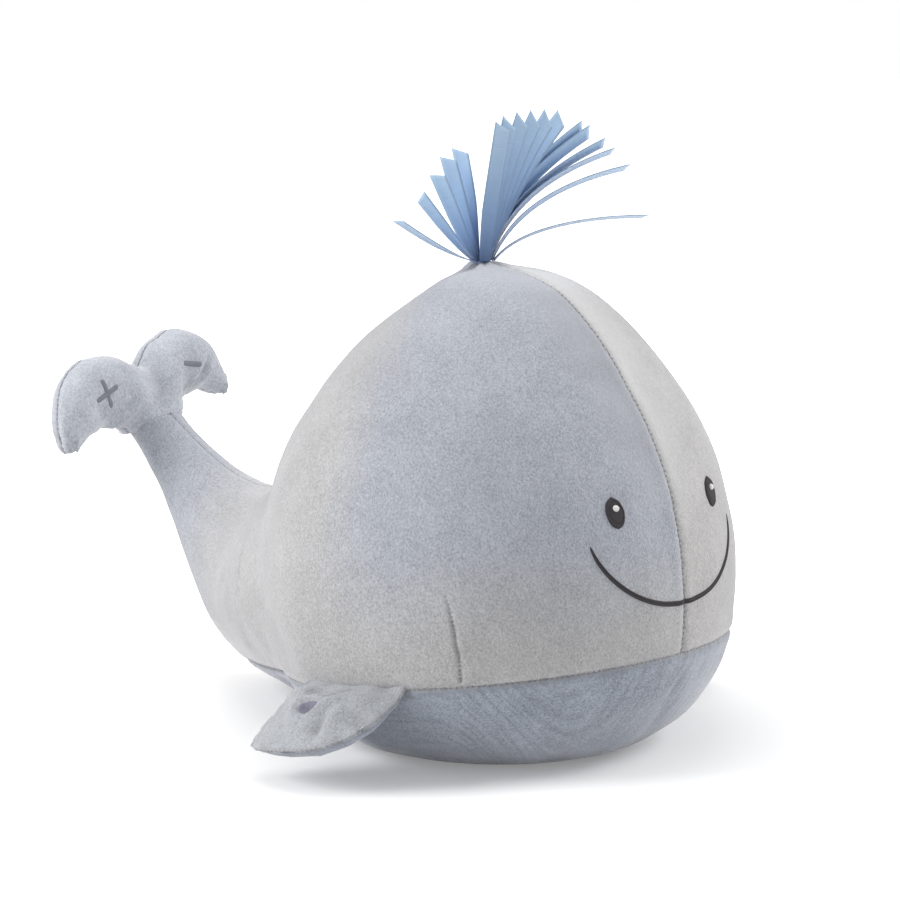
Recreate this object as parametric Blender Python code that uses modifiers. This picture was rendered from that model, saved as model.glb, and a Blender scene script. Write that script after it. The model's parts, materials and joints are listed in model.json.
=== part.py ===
"""Stuffed whale with a sound module, press buttons and a tuft of ribbon at the crown.

Metres, +Z up. The whale faces -Y, its right side is -X, and the origin is on the ground under the head.
"""

import math

import bmesh
import bpy
import numpy
from mathutils import Matrix, Vector
from mathutils.bvhtree import BVHTree

# Head and body
HEAD_HEIGHT = 0.190
HEAD_RADIUS = 0.0932
FLAT_CUT = 0.0005
HEAD_SEGMENTS = 96
PROFILE_STEPS = 5

# Tail stock
TAIL_REACH = 0.200
TAIL_RISE = 0.105
HAUNCH_RADIUS = 0.058
TAIL_SEGMENTS = 32

# Fabric and stuffing
FABRIC = 0.0018
GAP = 0.0003
FUSE_VOXEL = 0.003
FUSE_ROUNDS = 14
FACET_SHARE = 0.028
MERGE = 0.00001

# Seam between the sides and the belly
SEAM_FRONT = 0.0464
SEAM_REAR = 0.010
SEAM_LENGTH = 0.250
SEAM_CURVE = 0.95

# Neck plane between the stuffing of the body and of the tail
NECK_PLACE = 0.086
NECK_HEIGHT = 0.075
NECK_TILT = math.radians(-14)

# Fluke
FLUKE_HALF_LENGTH = 0.056
FLUKE_HEIGHT = 0.033
FLUKE_HALF_THICKNESS = 0.0125
FLUKE_LEAN = math.radians(12)
FLUKE_ROLL = math.radians(4)
FLUKE_YAW = math.radians(4)
FLUKE_BEND = math.radians(10)
FLUKE_FACE_SHARE = 0.88
FLUKE_STEM_SHARE = 0.6
FLUKE_TIP_STATIONS = 3
FLUKE_SECTION_POWER = 2.5

# Flippers
FLIPPER_REACH = 0.037
FLIPPER_LENGTH = 0.057
FLIPPER_HALF_THICKNESS = 0.006
FLIPPER_DROOP = math.radians(36)
FLIPPER_ROOT_SHARE = 0.942
FLIPPER_ROOT_FRONT = -0.029
FLIPPER_ROOT_FRONT_HEIGHT = 0.037
FLIPPER_ROOT_REAR = 0.022
FLIPPER_ROOT_REAR_HEIGHT = 0.0316
FLIPPER_ROOT_EDGE = 0.0012
FLIPPER_SECTION_POWER = 3.0

# Ribbon tuft
RIBBON_WIDTH = 0.00635
RIBBON_THICKNESS = 0.0004
RIBBON_PITCH = 0.001
RIBBON_ROOT_WIDTH = 0.0024
RIBBON_PINCH_HEIGHT = 0.026
TUFT_SPREAD = 0.059
TUFT_HEIGHT = 0.0550
TUFT_DEPTH = 0.022
TUFT_SEAT = 0.0010
TUFT_PLACE_SHARE = 0.084
TUFT_TURN = math.radians(-48)
TUFT_SIDE_STEP = 0.0031
TUFT_FRONT_PLACE = -0.0021
TUFT_REAR_PLACE = 0.0026
TUFT_SWAY_SLOPE = 0.2
RIBBON_STEPS = 7
RIBBON_BEND_RISE_SHARE = 0.62
RIBBON_BEND_REACH_SHARE = 0.22

# Embroidery
STITCH_HEIGHT = 0.0007
EYE_WIDTH = 0.0076
EYE_HEIGHT = 0.0115
EYE_RIGHT_SIDE = 0.0298
EYE_LEFT_SIDE = 0.0275
EYE_PLACE_HEIGHT = 0.104
SMILE_SIDE = 0.042
SMILE_CORNER_HEIGHT = 0.0932
SMILE_DROP = 0.0266
SMILE_THICKNESS = 0.0017
SMILE_STEPS = 16
SMILE_POWER = 2.2
SMILE_ROUNDNESS = 0.63
SMILE_CORNER_SHARE = 0.3
PLUS_SIZE = 0.0146
MINUS_SIZE = 0.0112
SIGN_STROKE = 0.0028
NOTE_SIZE = 0.0097
PLUS_SIDE_SHARE = 0.56
PLUS_HEIGHT_SHARE = 0.45
MINUS_SIDE_SHARE = 0.39
MINUS_HEIGHT_SHARE = 0.52
SIGN_TURNS = {"plus": math.radians(16), "minus": math.radians(-15), "note": 0.0}
NOTE_PLACE_SHARE = 0.545
NOTE_REACH_SHARE = 0.31
FACE_DEPTH = 0.060

# Press buttons
BUTTON_RADIUS = 0.0065
BUTTON_HEIGHT = 0.0065
BUTTON_DEPTH = 0.0028
BUTTON_WALL = 0.0010
BUTTON_TRAVEL = 0.0008
BUTTON_CAP_THICKNESS = 0.0016
FLIPPER_BUTTON_RADIUS = 0.0052
FLIPPER_BUTTON_HEIGHT = 0.0042
FLIPPER_BUTTON_DEPTH = 0.002

# Sound module
CASE_LENGTH = 0.062
CASE_DEPTH = 0.048
CASE_TRAY_HEIGHT = 0.0155
CASE_COVER_HEIGHT = 0.0145
CASE_WALL = 0.0016
CASE_CORNER = 0.004
CASE_PLACE = 0.022
CASE_LIFT = 0.0062
BATTERY_LENGTH = 0.0445
BATTERY_RADIUS = 0.00525
BATTERY_TIP_RADIUS = 0.0019
BATTERY_TIP = 0.0008
DOOR_END_ROOM = 0.008
DOOR_SIDE_ROOM = 0.011
CONTACT_THICKNESS = 0.0005
CONTACT_HEIGHT = 0.009
BOARD_END_ROOM = 0.008
BOARD_SIDE_ROOM = 0.004
BOARD_THICKNESS = 0.0016
CHIP_SIZE = 0.009
CHIP_HEIGHT = 0.0013
SPEAKER_RADIUS = 0.0145
SPEAKER_HEIGHT = 0.0065
MAGNET_RADIUS = 0.0075
GRILLE_HOLE_RADIUS = 0.0013
GRILLE_RING_RADIUS = 0.0075
GRILLE_HOLES = 8
SCREW_RADIUS = 0.0011
SCREW_HEAD_RADIUS = 0.0021
SCREW_HEAD_HEIGHT = 0.0011
BOSS_RADIUS = 0.0026
SWITCH_LENGTH = 0.007
SWITCH_WIDTH = 0.003
SWITCH_HEIGHT = 0.0028
SWITCH_TRAVEL = 0.0015
POUCH_WALL = 0.0008
SLIT_END_ROOM = 0.003
SLIT_WIDTH = 0.0012
CLOSURE_WIDTH = 0.010
CLOSURE_THICKNESS = 0.0011
LEAD_RADIUS = 0.0009
OVERRUN = 0.004

# Radius, height and lean toward the tail, from the foot to the crown
HEAD_PROFILE_SHARES = (
    (0.0, 0.0, 0.0),
    (0.30, 0.0, 0.0),
    (0.52, 0.0, 0.0),
    (0.66, 0.017, 0.0),
    (0.76, 0.047, 0.0),
    (0.834, 0.085, 0.0),
    (0.923, 0.149, 0.0),
    (0.962, 0.190, 0.0),
    (0.988, 0.246, 0.0),
    (1.0, 0.355, 0.0),
    (0.987, 0.438, 0.0),
    (0.960, 0.503, 0.0),
    (0.925, 0.567, 0.0),
    (0.872, 0.632, 0.0),
    (0.795, 0.695, -0.01),
    (0.707, 0.759, -0.01),
    (0.595, 0.824, -0.02),
    (0.462, 0.885, -0.035),
    (0.300, 0.945, -0.035),
    (0.145, 0.975, 0.0),
    (0.0, 0.989, 0.035),
)

# Reach, rise, girth, and how round the section is
TAIL_SHARES = (
    (0.08, 0.56, 1.44, 0.70),
    (0.26, 0.53, 1.30, 0.73),
    (0.44, 0.475, 1.03, 0.81),
    (0.58, 0.465, 0.72, 0.95),
    (0.695, 0.55, 0.49, 1.00),
    (0.79, 0.67, 0.345, 0.98),
    (0.89, 0.83, 0.252, 0.92),
    (0.995, 1.00, 0.215, 0.86),
    (1.07, 1.13, 0.215, 0.86),
)

# Place along the span from the middle, lower edge, upper edge and thickness of each lobe
FLUKE_RIGHT_SHARES = (
    (0.00, -0.50, 0.66, 1.00),
    (0.09, -0.47, 0.70, 0.95),
    (0.17, -0.36, 0.77, 0.89),
    (0.215, -0.22, 0.81, 0.87),
    (0.29, -0.08, 0.85, 0.85),
    (0.38, -0.03, 0.87, 0.85),
    (0.53, 0.04, 0.88, 0.86),
    (0.63, 0.02, 0.84, 0.83),
    (0.73, -0.04, 0.78, 0.76),
    (0.84, -0.15, 0.64, 0.63),
    (0.92, -0.18, 0.46, 0.48),
    (0.97, -0.13, 0.25, 0.29),
    (0.985, -0.02, 0.08, 0.10),
)
FLUKE_LEFT_SHARES = (
    (0.00, -0.50, 0.66, 1.00),
    (0.09, -0.47, 0.76, 1.00),
    (0.17, -0.36, 0.86, 0.98),
    (0.225, -0.20, 0.90, 0.95),
    (0.27, -0.02, 0.92, 0.93),
    (0.345, 0.06, 0.95, 0.93),
    (0.46, 0.10, 1.00, 0.94),
    (0.60, 0.15, 0.92, 0.91),
    (0.71, 0.09, 0.79, 0.83),
    (0.785, 0.03, 0.62, 0.71),
    (0.835, 0.00, 0.45, 0.54),
    (0.865, 0.02, 0.25, 0.33),
    (0.88, 0.06, 0.13, 0.14),
)

# Place along the root from the front, inner edge, outer edge and thickness
FLIPPER_SHARES = (
    (0.00, 0.05, 0.14, 0.12),
    (0.03, 0.0, 0.30, 0.35),
    (0.10, 0.0, 0.56, 0.62),
    (0.20, 0.0, 0.77, 0.84),
    (0.386, 0.0, 0.94, 1.00),
    (0.63, 0.0, 1.00, 1.00),
    (0.80, 0.0, 0.98, 0.86),
    (0.89, 0.05, 0.95, 0.70),
    (0.94, 0.34, 0.93, 0.54),
    (0.985, 0.55, 0.88, 0.32),
    (1.00, 0.66, 0.78, 0.12),
)

# Sideways reach, rise, lean in depth and steepness at the root of each strand, left to right
LEFT_RIBBON_SHARES = (
    (-0.520, 0.345, -0.75, 0.90),
    (-0.370, 0.515, -0.42, -0.12),
    (-0.258, 0.658, -0.20, -0.12),
    (-0.185, 0.762, 0.15, -0.05),
    (-0.104, 0.803, 0.50, 0.31),
)
MIDDLE_RIBBON_SHARES = (
    (0.112, 1.025, -0.70, 0.20),
    (0.160, 1.045, -0.50, 0.22),
    (0.248, 1.055, -0.30, 0.27),
    (0.336, 1.055, -0.10, 0.31),
    (0.424, 1.050, 0.10, 0.35),
    (0.512, 1.040, 0.30, 0.40),
)
RIGHT_RIBBON_SHARES = (
    (0.670, 0.960, 0.64, 0.58),
    (0.703, 0.930, 0.68, 0.60),
    (0.791, 0.850, 0.74, 0.70),
    (0.835, 0.785, 0.80, 0.85),
    (0.918, 0.658, 0.90, 0.95),
    (1.032, 0.296, 1.00, 1.50),
)

# Half of the eye's outline, from its foot to its top
EYE_SHARES = ((0.0, -0.5), (0.30, -0.40), (0.46, -0.15), (0.48, 0.08), (0.34, 0.34), (0.0, 0.5))

# Outline of the note, along and across the flipper
NOTE_SHARES = (
    (-0.02, 0.31),
    (-0.09, -0.48),
    (-0.11, -0.59),
    (-0.66, -0.88),
    (-0.73, -0.76),
    (-0.25, -0.48),
    (-0.18, 0.27),
    (-0.14, 0.44),
    (0.02, 0.59),
    (0.27, 0.65),
    (0.55, 0.62),
    (0.71, 0.51),
    (0.66, 0.36),
    (0.44, 0.26),
    (0.19, 0.24),
)

# Route of the lead to the fluke, as shares of the tail's reach and rise, from the module to the seam
TAIL_LEAD_SHARES = ((0.335, 0.29), (0.45, 0.40), (0.61, 0.50), (0.735, 0.60), (0.83, 0.725), (0.915, 0.858))


def collection(name):
    made = bpy.data.collections.new(name)
    bpy.context.scene.collection.children.link(made)
    return made


def material(name, colour, roughness=0.9, metallic=0.0):
    made = bpy.data.materials.new(name)
    made.use_nodes = True
    shader = made.node_tree.nodes["Principled BSDF"]
    shader.inputs["Base Color"].default_value = (*colour, 1.0)
    shader.inputs["Roughness"].default_value = roughness
    shader.inputs["Metallic"].default_value = metallic
    made.diffuse_color = (*colour, 1.0)
    return made


for leftover in list(bpy.data.objects):
    bpy.data.objects.remove(leftover)

PARTS = collection("plush_whale")
CUTTERS = collection("cutters")

PALE_VELOUR = material("pale_velour", (0.43, 0.45, 0.50))
BLUE_VELOUR = material("blue_velour", (0.23, 0.27, 0.34))
STUFFING = material("stuffing", (0.85, 0.85, 0.83))
BLUE_SATIN = material("blue_satin", (0.17, 0.28, 0.48), 0.4)
DARK_THREAD = material("dark_thread", (0.035, 0.033, 0.034), 0.6)
GREY_THREAD = material("grey_thread", (0.21, 0.22, 0.26), 0.6)
WHITE_PLASTIC = material("white_plastic", (0.75, 0.75, 0.72), 0.45)
BLACK_PLASTIC = material("black_plastic", (0.03, 0.03, 0.03), 0.5)
GREEN_BOARD = material("green_board", (0.02, 0.16, 0.06), 0.4)
CELL_WRAP = material("cell_wrap", (0.12, 0.12, 0.13), 0.35)
BRIGHT_STEEL = material("bright_steel", (0.60, 0.60, 0.60), 0.3, 1.0)
POUCH_CLOTH = material("pouch_cloth", (0.60, 0.62, 0.66))


def as_object(name, bm, finish, smooth=True):
    """A mesh object in the parts collection, its faces pointing out."""
    bm.normal_update()
    bmesh.ops.recalc_face_normals(bm, faces=bm.faces)
    mesh = bpy.data.meshes.new(name)
    bm.to_mesh(mesh)
    bm.free()
    mesh.materials.append(finish)
    if smooth:
        mesh.shade_smooth()
        mesh.set_sharp_from_angle(angle=math.radians(40))
    made = bpy.data.objects.new(name, mesh)
    PARTS.objects.link(made)
    return made


def as_cutter(name, bm):
    made = as_object(name, bm, WHITE_PLASTIC, smooth=False)
    PARTS.objects.unlink(made)
    CUTTERS.objects.link(made)
    made.hide_render = True
    made.display_type = "WIRE"
    return made


def boolean(target, cutter, operation="DIFFERENCE"):
    modifier = target.modifiers.new(cutter.name, "BOOLEAN")
    modifier.operation = operation
    modifier.solver = "EXACT"
    modifier.object = cutter


def smooth_line(points, steps):
    """A Catmull-Rom line through points of any dimension, with steps samples to each stretch."""
    padded = [points[0], *points, points[-1]]
    line = []
    for before, start, end, after in zip(padded, padded[1:], padded[2:], padded[3:]):
        for step in range(steps):
            t = step / steps
            line.append(
                tuple(
                    0.5 * (2 * b + (c - a) * t + (2 * a - 5 * b + 4 * c - d) * t**2 + (3 * b - a - 3 * c + d) * t**3)
                    for a, b, c, d in zip(before, start, end, after)
                )
            )
    line.append(tuple(points[-1]))
    return line


def add_box(bm, size, centre):
    matrix = Matrix.Translation(centre) @ Matrix.Diagonal((*size, 1.0))
    return bmesh.ops.create_cube(bm, size=1.0, matrix=matrix)["verts"]


def add_rounded_box(bm, size, centre, radius):
    """A box whose upright edges are rounded."""
    verts = add_box(bm, size, centre)
    upright = [e for e in {e for v in verts for e in v.link_edges} if abs((e.verts[0].co - e.verts[1].co).z) > radius]
    bmesh.ops.bevel(bm, geom=upright, offset=radius, segments=3, profile=0.5, affect="EDGES", material=-1)


def add_cylinder(bm, radius, start, end, segments=20, end_radius=None):
    """A capped cylinder or cone between two points."""
    start = Vector(start)
    axis = Vector(end) - start
    turn = axis.to_track_quat("Z", "Y").to_matrix().to_4x4()
    matrix = Matrix.Translation(start + axis / 2) @ turn
    far = radius if end_radius is None else end_radius
    bmesh.ops.create_cone(
        bm, cap_ends=True, segments=segments, radius1=radius, radius2=far, depth=axis.length, matrix=matrix
    )


def grid_faces(bm, rows, closed=False):
    """Quads over rows of vertices; closed joins the ends of each row."""
    for lower, upper in zip(rows, rows[1:]):
        count = len(lower)
        for i in range(count if closed else count - 1):
            j = (i + 1) % count
            bm.faces.new((lower[i], lower[j], upper[j], upper[i]))


def add_ring_loft(bm, rings):
    """A closed loft through rings of points, capped at both ends."""
    rows = [[bm.verts.new(point) for point in ring] for ring in rings]
    grid_faces(bm, rows, closed=True)
    bm.faces.new(rows[0])
    bm.faces.new(rows[-1])


def cut_off(bm, point, normal, reach=math.inf):
    """Removes what lies beyond a plane, up to a reach from the point, and closes the cut."""
    faces = [face for face in bm.faces if (face.calc_center_median() - point).length < reach]
    edges = {edge for face in faces for edge in face.edges}
    verts = {vert for face in faces for vert in face.verts}
    cut = bmesh.ops.bisect_plane(
        bm, geom=list(verts) + list(edges) + faces, plane_co=point, plane_no=normal, clear_outer=True
    )
    rim = [item for item in cut["geom_cut"] if isinstance(item, bmesh.types.BMEdge)]
    bmesh.ops.holes_fill(bm, edges=rim, sides=0)


def pivot(name, place, pieces):
    """An empty on a joint's axis that carries the pieces that move with it."""
    empty = bpy.data.objects.new(name, None)
    empty.location = place
    PARTS.objects.link(empty)
    bpy.context.view_layer.update()
    for piece in pieces:
        piece.parent = empty
        piece.matrix_parent_inverse = empty.matrix_world.inverted()
    return empty


# Body form


def tail_point(reach, rise):
    return Vector((0.0, reach * TAIL_REACH, rise * TAIL_RISE))


def head_form(bm):
    """The head and belly, turned about the upright axis, with the crown drawn back to its tip."""
    stations = smooth_line(HEAD_PROFILE_SHARES, PROFILE_STEPS)
    heights = [z * (HEAD_HEIGHT + FLAT_CUT) - FLAT_CUT for _, z, _ in stations]
    verts = [bm.verts.new((max(r, 0.0) * HEAD_RADIUS, 0.0, z)) for (r, _, _), z in zip(stations, heights)]
    edges = [bm.edges.new(pair) for pair in zip(verts, verts[1:])]
    bmesh.ops.spin(
        bm, geom=verts + edges, cent=(0, 0, 0), axis=(0, 0, 1), angle=math.tau, steps=HEAD_SEGMENTS, use_merge=True
    )
    bmesh.ops.remove_doubles(bm, verts=bm.verts, dist=MERGE)
    leans = [lean * HEAD_RADIUS for _, _, lean in stations]
    for vert in bm.verts:
        vert.co.y += float(numpy.interp(vert.co.z, heights, leans))


def tail_form(bm):
    """The haunches and tail stock, a tapering loft that bends upward."""
    stations = smooth_line(TAIL_SHARES, 3)
    centres = [tail_point(reach, rise) for reach, rise, _, _ in stations]
    rings = []
    for i, (_, _, girth, roundness) in enumerate(stations):
        ahead = centres[min(i + 1, len(centres) - 1)] - centres[max(i - 1, 0)]
        across = Vector((1.0, 0.0, 0.0))
        up = ahead.cross(across).normalized()
        radius = girth * HAUNCH_RADIUS
        ring = []
        for k in range(TAIL_SEGMENTS):
            angle = math.tau * k / TAIL_SEGMENTS
            ring.append(centres[i] + across * radius * math.cos(angle) + up * radius * roundness * math.sin(angle))
        rings.append(ring)
    add_ring_loft(bm, rings)


def fused_body():
    """Head and tail in one soft form, the same on both sides and flat underneath."""
    bm = bmesh.new()
    head_form(bm)
    tail_form(bm)
    bmesh.ops.recalc_face_normals(bm, faces=bm.faces)
    mesh = bpy.data.meshes.new("body_form")
    bm.to_mesh(mesh)
    bm.free()
    rough = bpy.data.objects.new("body_form", mesh)
    CUTTERS.objects.link(rough)
    fuse = rough.modifiers.new("fuse", "REMESH")
    fuse.mode = "VOXEL"
    fuse.voxel_size = FUSE_VOXEL
    soften = rough.modifiers.new("soften", "SMOOTH")
    soften.factor = 0.5
    soften.iterations = FUSE_ROUNDS
    facets = rough.modifiers.new("facets", "DECIMATE")
    facets.ratio = FACET_SHARE
    bpy.context.view_layer.update()
    smooth_mesh = bpy.data.meshes.new_from_object(rough.evaluated_get(bpy.context.evaluated_depsgraph_get()))
    bpy.data.objects.remove(rough)
    form = bmesh.new()
    form.from_mesh(smooth_mesh)
    bpy.data.meshes.remove(smooth_mesh)
    for vert in form.verts:
        vert.co.z = max(vert.co.z, 0.0)
    bmesh.ops.bisect_plane(
        form,
        geom=form.verts[:] + form.edges[:] + form.faces[:],
        plane_co=(0, 0, 0),
        plane_no=(1, 0, 0),
        clear_outer=True,
    )
    bmesh.ops.mirror(form, geom=form.verts[:] + form.edges[:] + form.faces[:], merge_dist=MERGE, axis="X")
    bmesh.ops.dissolve_degenerate(form, edges=form.edges, dist=MERGE)
    bmesh.ops.triangulate(form, faces=form.faces)
    bmesh.ops.recalc_face_normals(form, faces=form.faces)
    form.normal_update()
    return form


def seam_height(place):
    """Height of the seam between the sides and the belly, at a place along Y."""
    along = min(max((place + HEAD_RADIUS) / SEAM_LENGTH, 0.0), 1.0)
    return SEAM_REAR + (SEAM_FRONT - SEAM_REAR) * (1.0 - along) ** SEAM_CURVE


def fluke_matrix():
    """Places the fluke's own frame: X along the span, Y through its thickness, Z up, hinge at the origin."""
    turn = Matrix.Rotation(FLUKE_YAW, 4, "Z") @ Matrix.Rotation(-FLUKE_LEAN, 4, "X")
    return Matrix.Translation(tail_point(1.0, 1.0)) @ turn @ Matrix.Rotation(-FLUKE_ROLL, 4, "Y")


FLUKE_FRAME = fluke_matrix()
FLUKE_UP = FLUKE_FRAME.to_3x3() @ Vector((0.0, 0.0, 1.0))
FLUKE_SEAM = tail_point(1.0, 1.0)


def bisect(bm, point, normal, behind=-math.inf):
    """Adds edges along a plane, on the faces that lie past a place along Y."""
    faces = [face for face in bm.faces if face.calc_center_median().y > behind]
    edges = {edge for face in faces for edge in face.edges}
    verts = {vert for face in faces for vert in face.verts}
    bmesh.ops.bisect_plane(
        bm, geom=list(verts) + list(edges) + faces, dist=MERGE / 10, plane_co=point, plane_no=normal
    )


def seamed_form(form):
    """The body form with edges along each seam, and each face marked with its panel."""
    bm = form.copy()
    half = GAP / 2
    bisect(bm, FLUKE_SEAM - FLUKE_UP * half, FLUKE_UP, NECK_PLACE)
    for side in (-1, 1):
        bisect(bm, (side * half, 0.0, 0.0), (1, 0, 0))
    for vert in bm.verts:
        vert.co.z -= seam_height(vert.co.y)
    for side in (-1, 1):
        bisect(bm, (0.0, 0.0, side * half), (0, 0, 1))
    panel = bm.faces.layers.int.new("panel")
    for face in bm.faces:
        centre = face.calc_center_median()
        if centre.z < -half:
            face[panel] = 3
        elif centre.z > half and centre.x < -half:
            face[panel] = 1
        elif centre.z > half and centre.x > half:
            face[panel] = 2
    for vert in bm.verts:
        vert.co.z += seam_height(vert.co.y)
    for face in bm.faces:
        centre = face.calc_center_median()
        if centre.y > NECK_PLACE and (centre - FLUKE_SEAM).dot(FLUKE_UP) > -half:
            face[panel] = 0
    bm.normal_update()
    inward = bm.verts.layers.float_vector.new("inward")
    for vert in bm.verts:
        direction = -vert.normal
        if abs(vert.co.x) < GAP:
            direction.x = 0.0
        if vert.co.y > NECK_PLACE and abs((vert.co - FLUKE_SEAM).dot(FLUKE_UP) + half) < MERGE:
            direction -= FLUKE_UP * direction.dot(FLUKE_UP)
        vert[inward] = direction.normalized()
    return bm


def skin_panel(name, seamed, number, finish):
    """One panel of fabric: its patch of the form, thickened inward."""
    bm = seamed.copy()
    panel = bm.faces.layers.int["panel"]
    bmesh.ops.delete(bm, geom=[face for face in bm.faces if face[panel] != number], context="FACES")
    inward = bm.verts.layers.float_vector["inward"]
    outer = bm.faces[:]
    made = bmesh.ops.extrude_face_region(bm, geom=outer + bm.edges[:] + bm.verts[:], use_keep_orig=True)
    for item in made["geom"]:
        if isinstance(item, bmesh.types.BMVert):
            item.co += item[inward] * FABRIC
    return as_object(name, bm, finish)


def sunken_form(form, depth):
    bm = form.copy()
    moves = [vert.normal * depth for vert in bm.verts]
    for vert, move in zip(bm.verts, moves):
        vert.co -= move
    return bm


# Padded limbs


def section(share, power):
    """Half the thickness at a share of the way across, from 0 at the edges to 1 in the middle."""
    return math.sqrt(max(1.0 - abs(2.0 * share - 1.0) ** power, 0.0))


class Limb:
    """A flat padded limb: stations of place, inner edge, outer edge and half thickness, in its own frame."""

    def __init__(self, stations, power, frame, steps):
        self.stations = stations
        self.power = power
        self.frame = frame
        self.steps = steps
        self.middle = sum(place for place, _, _, _ in (stations[0], stations[-1])) / 2
        self.reach = (stations[-1][0] - stations[0][0]) / 2
        self.girth = max(high - low for _, low, high, _ in stations) / 2
        self.thick = max(half for _, _, _, half in stations)

    def rows(self, face, depth, gap):
        """Points of one face, a row to each station, at a depth under the surface."""
        made = []
        for place, low, high, half in self.stations:
            off = place - self.middle
            along = self.middle + off * (1 - depth / self.reach * (off / self.reach) ** 4)
            middle = (low + high) / 2
            spread = (high - low) / 2 * (1 - depth / self.girth)
            raised = half * (1 - depth / self.thick)
            row = []
            for k in range(self.steps + 1):
                share = (1 - math.cos(math.pi * k / self.steps)) / 2
                across = middle + spread * (2 * share - 1)
                out = face * (gap + raised * section(share, self.power))
                row.append(self.frame @ Vector((along, out, across)))
            made.append(row)
        return made

    def skin(self, name, face, finish):
        """The panel on one face, a shell between the surface and the stuffing."""
        bm = bmesh.new()
        outer = [[bm.verts.new(p) for p in row] for row in self.rows(face, 0.0, GAP / 2)]
        inner = [[bm.verts.new(p) for p in row] for row in self.rows(face, FABRIC, GAP / 2)]
        grid_faces(bm, outer)
        grid_faces(bm, inner)
        outer_rim = outer[0] + [r[-1] for r in outer[1:-1]] + outer[-1][::-1] + [r[0] for r in outer[-2:0:-1]]
        inner_rim = inner[0] + [r[-1] for r in inner[1:-1]] + inner[-1][::-1] + [r[0] for r in inner[-2:0:-1]]
        grid_faces(bm, [outer_rim, inner_rim], closed=True)
        return as_object(name, bm, finish)

    def solid(self, depth, ends=0):
        """The whole limb as one closed body, at a depth under its surface."""
        bm = bmesh.new()
        held = slice(ends, len(self.stations) - ends)
        front = self.rows(-1, depth, 0.0)[held]
        back = self.rows(1, depth, 0.0)[held]
        add_ring_loft(bm, [near + far[-2:0:-1] for near, far in zip(front, back)])
        return bm

    def filling(self, name, ends=0):
        """The stuffing, one closed body inside both panels, that leaves some stations out at both ends."""
        return as_object(name, self.solid(FABRIC + GAP, ends), STUFFING)


def edit(target, change):
    """Applies a bmesh change to an object's own mesh."""
    bm = bmesh.new()
    bm.from_mesh(target.data)
    change(bm)
    bm.normal_update()
    bmesh.ops.recalc_face_normals(bm, faces=bm.faces)
    bm.to_mesh(target.data)
    bm.free()


def fluke_limb():
    stations = [
        (side * place * FLUKE_HALF_LENGTH, low * FLUKE_HEIGHT, high * FLUKE_HEIGHT, thick * FLUKE_HALF_THICKNESS)
        for side, lobe in ((-1, FLUKE_RIGHT_SHARES[:0:-1]), (1, FLUKE_LEFT_SHARES))
        for place, low, high, thick in lobe
    ]
    return Limb(stations, FLUKE_SECTION_POWER, FLUKE_FRAME, 7)


def make_fluke():
    """Front and back panel and stuffing of the fluke, cut back at the seam so that it can nod."""
    limb = fluke_limb()
    front = limb.skin("fluke_front_panel", -1, PALE_VELOUR)
    back = limb.skin("fluke_back_panel", 1, PALE_VELOUR)
    filling = limb.filling("fluke_filling", FLUKE_TIP_STATIONS)
    clearance = FLUKE_BEND + math.radians(1)
    seat = FLUKE_SEAM + FLUKE_UP * GAP
    turn = FLUKE_FRAME.to_3x3()
    rises = {}
    for side in (-1, 1):
        rises[side] = turn @ Vector((0.0, side * math.sin(clearance), -math.cos(clearance)))
    stem = FLUKE_STEM_SHARE * FLUKE_HALF_LENGTH
    edit(front, lambda bm: cut_off(bm, seat, rises[-1], stem))
    edit(back, lambda bm: cut_off(bm, seat, rises[1], stem))

    def cut_both(bm):
        cut_off(bm, seat, rises[-1], stem)
        cut_off(bm, seat, rises[1], stem)

    edit(filling, cut_both)
    return limb, front, back, filling


def flipper_frame(side):
    """Frame at the front of a flipper's root: X along the root, Z outward, -Y up through the thickness."""
    front = Vector((side * FLIPPER_ROOT_SHARE * HEAD_RADIUS, FLIPPER_ROOT_FRONT, FLIPPER_ROOT_FRONT_HEIGHT))
    rear = Vector((side * FLIPPER_ROOT_SHARE * HEAD_RADIUS, FLIPPER_ROOT_REAR, FLIPPER_ROOT_REAR_HEIGHT))
    along = (rear - front).normalized()
    out = Vector((side * math.cos(FLIPPER_DROOP), 0.0, -math.sin(FLIPPER_DROOP)))
    out = (out - along * out.dot(along)).normalized()
    up = out.cross(along) * side
    turn = Matrix((along, -up, out)).transposed().to_4x4()
    return Matrix.Translation(front) @ turn


def flipper_limb(side):
    stations = [
        (
            place * FLIPPER_LENGTH,
            FLIPPER_ROOT_EDGE + low * FLIPPER_REACH,
            high * FLIPPER_REACH,
            thick * FLIPPER_HALF_THICKNESS,
        )
        for place, low, high, thick in FLIPPER_SHARES
    ]
    return Limb(stations, FLIPPER_SECTION_POWER, flipper_frame(side), 7)


def make_flipper(side, word):
    limb = flipper_limb(side)
    upper = limb.skin(f"flipper_{word}_upper", -1, PALE_VELOUR)
    lower = limb.skin(f"flipper_{word}_lower", 1, BLUE_VELOUR)
    filling = limb.filling(f"flipper_{word}_filling")
    return limb, upper, lower, filling


# Ribbons


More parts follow.
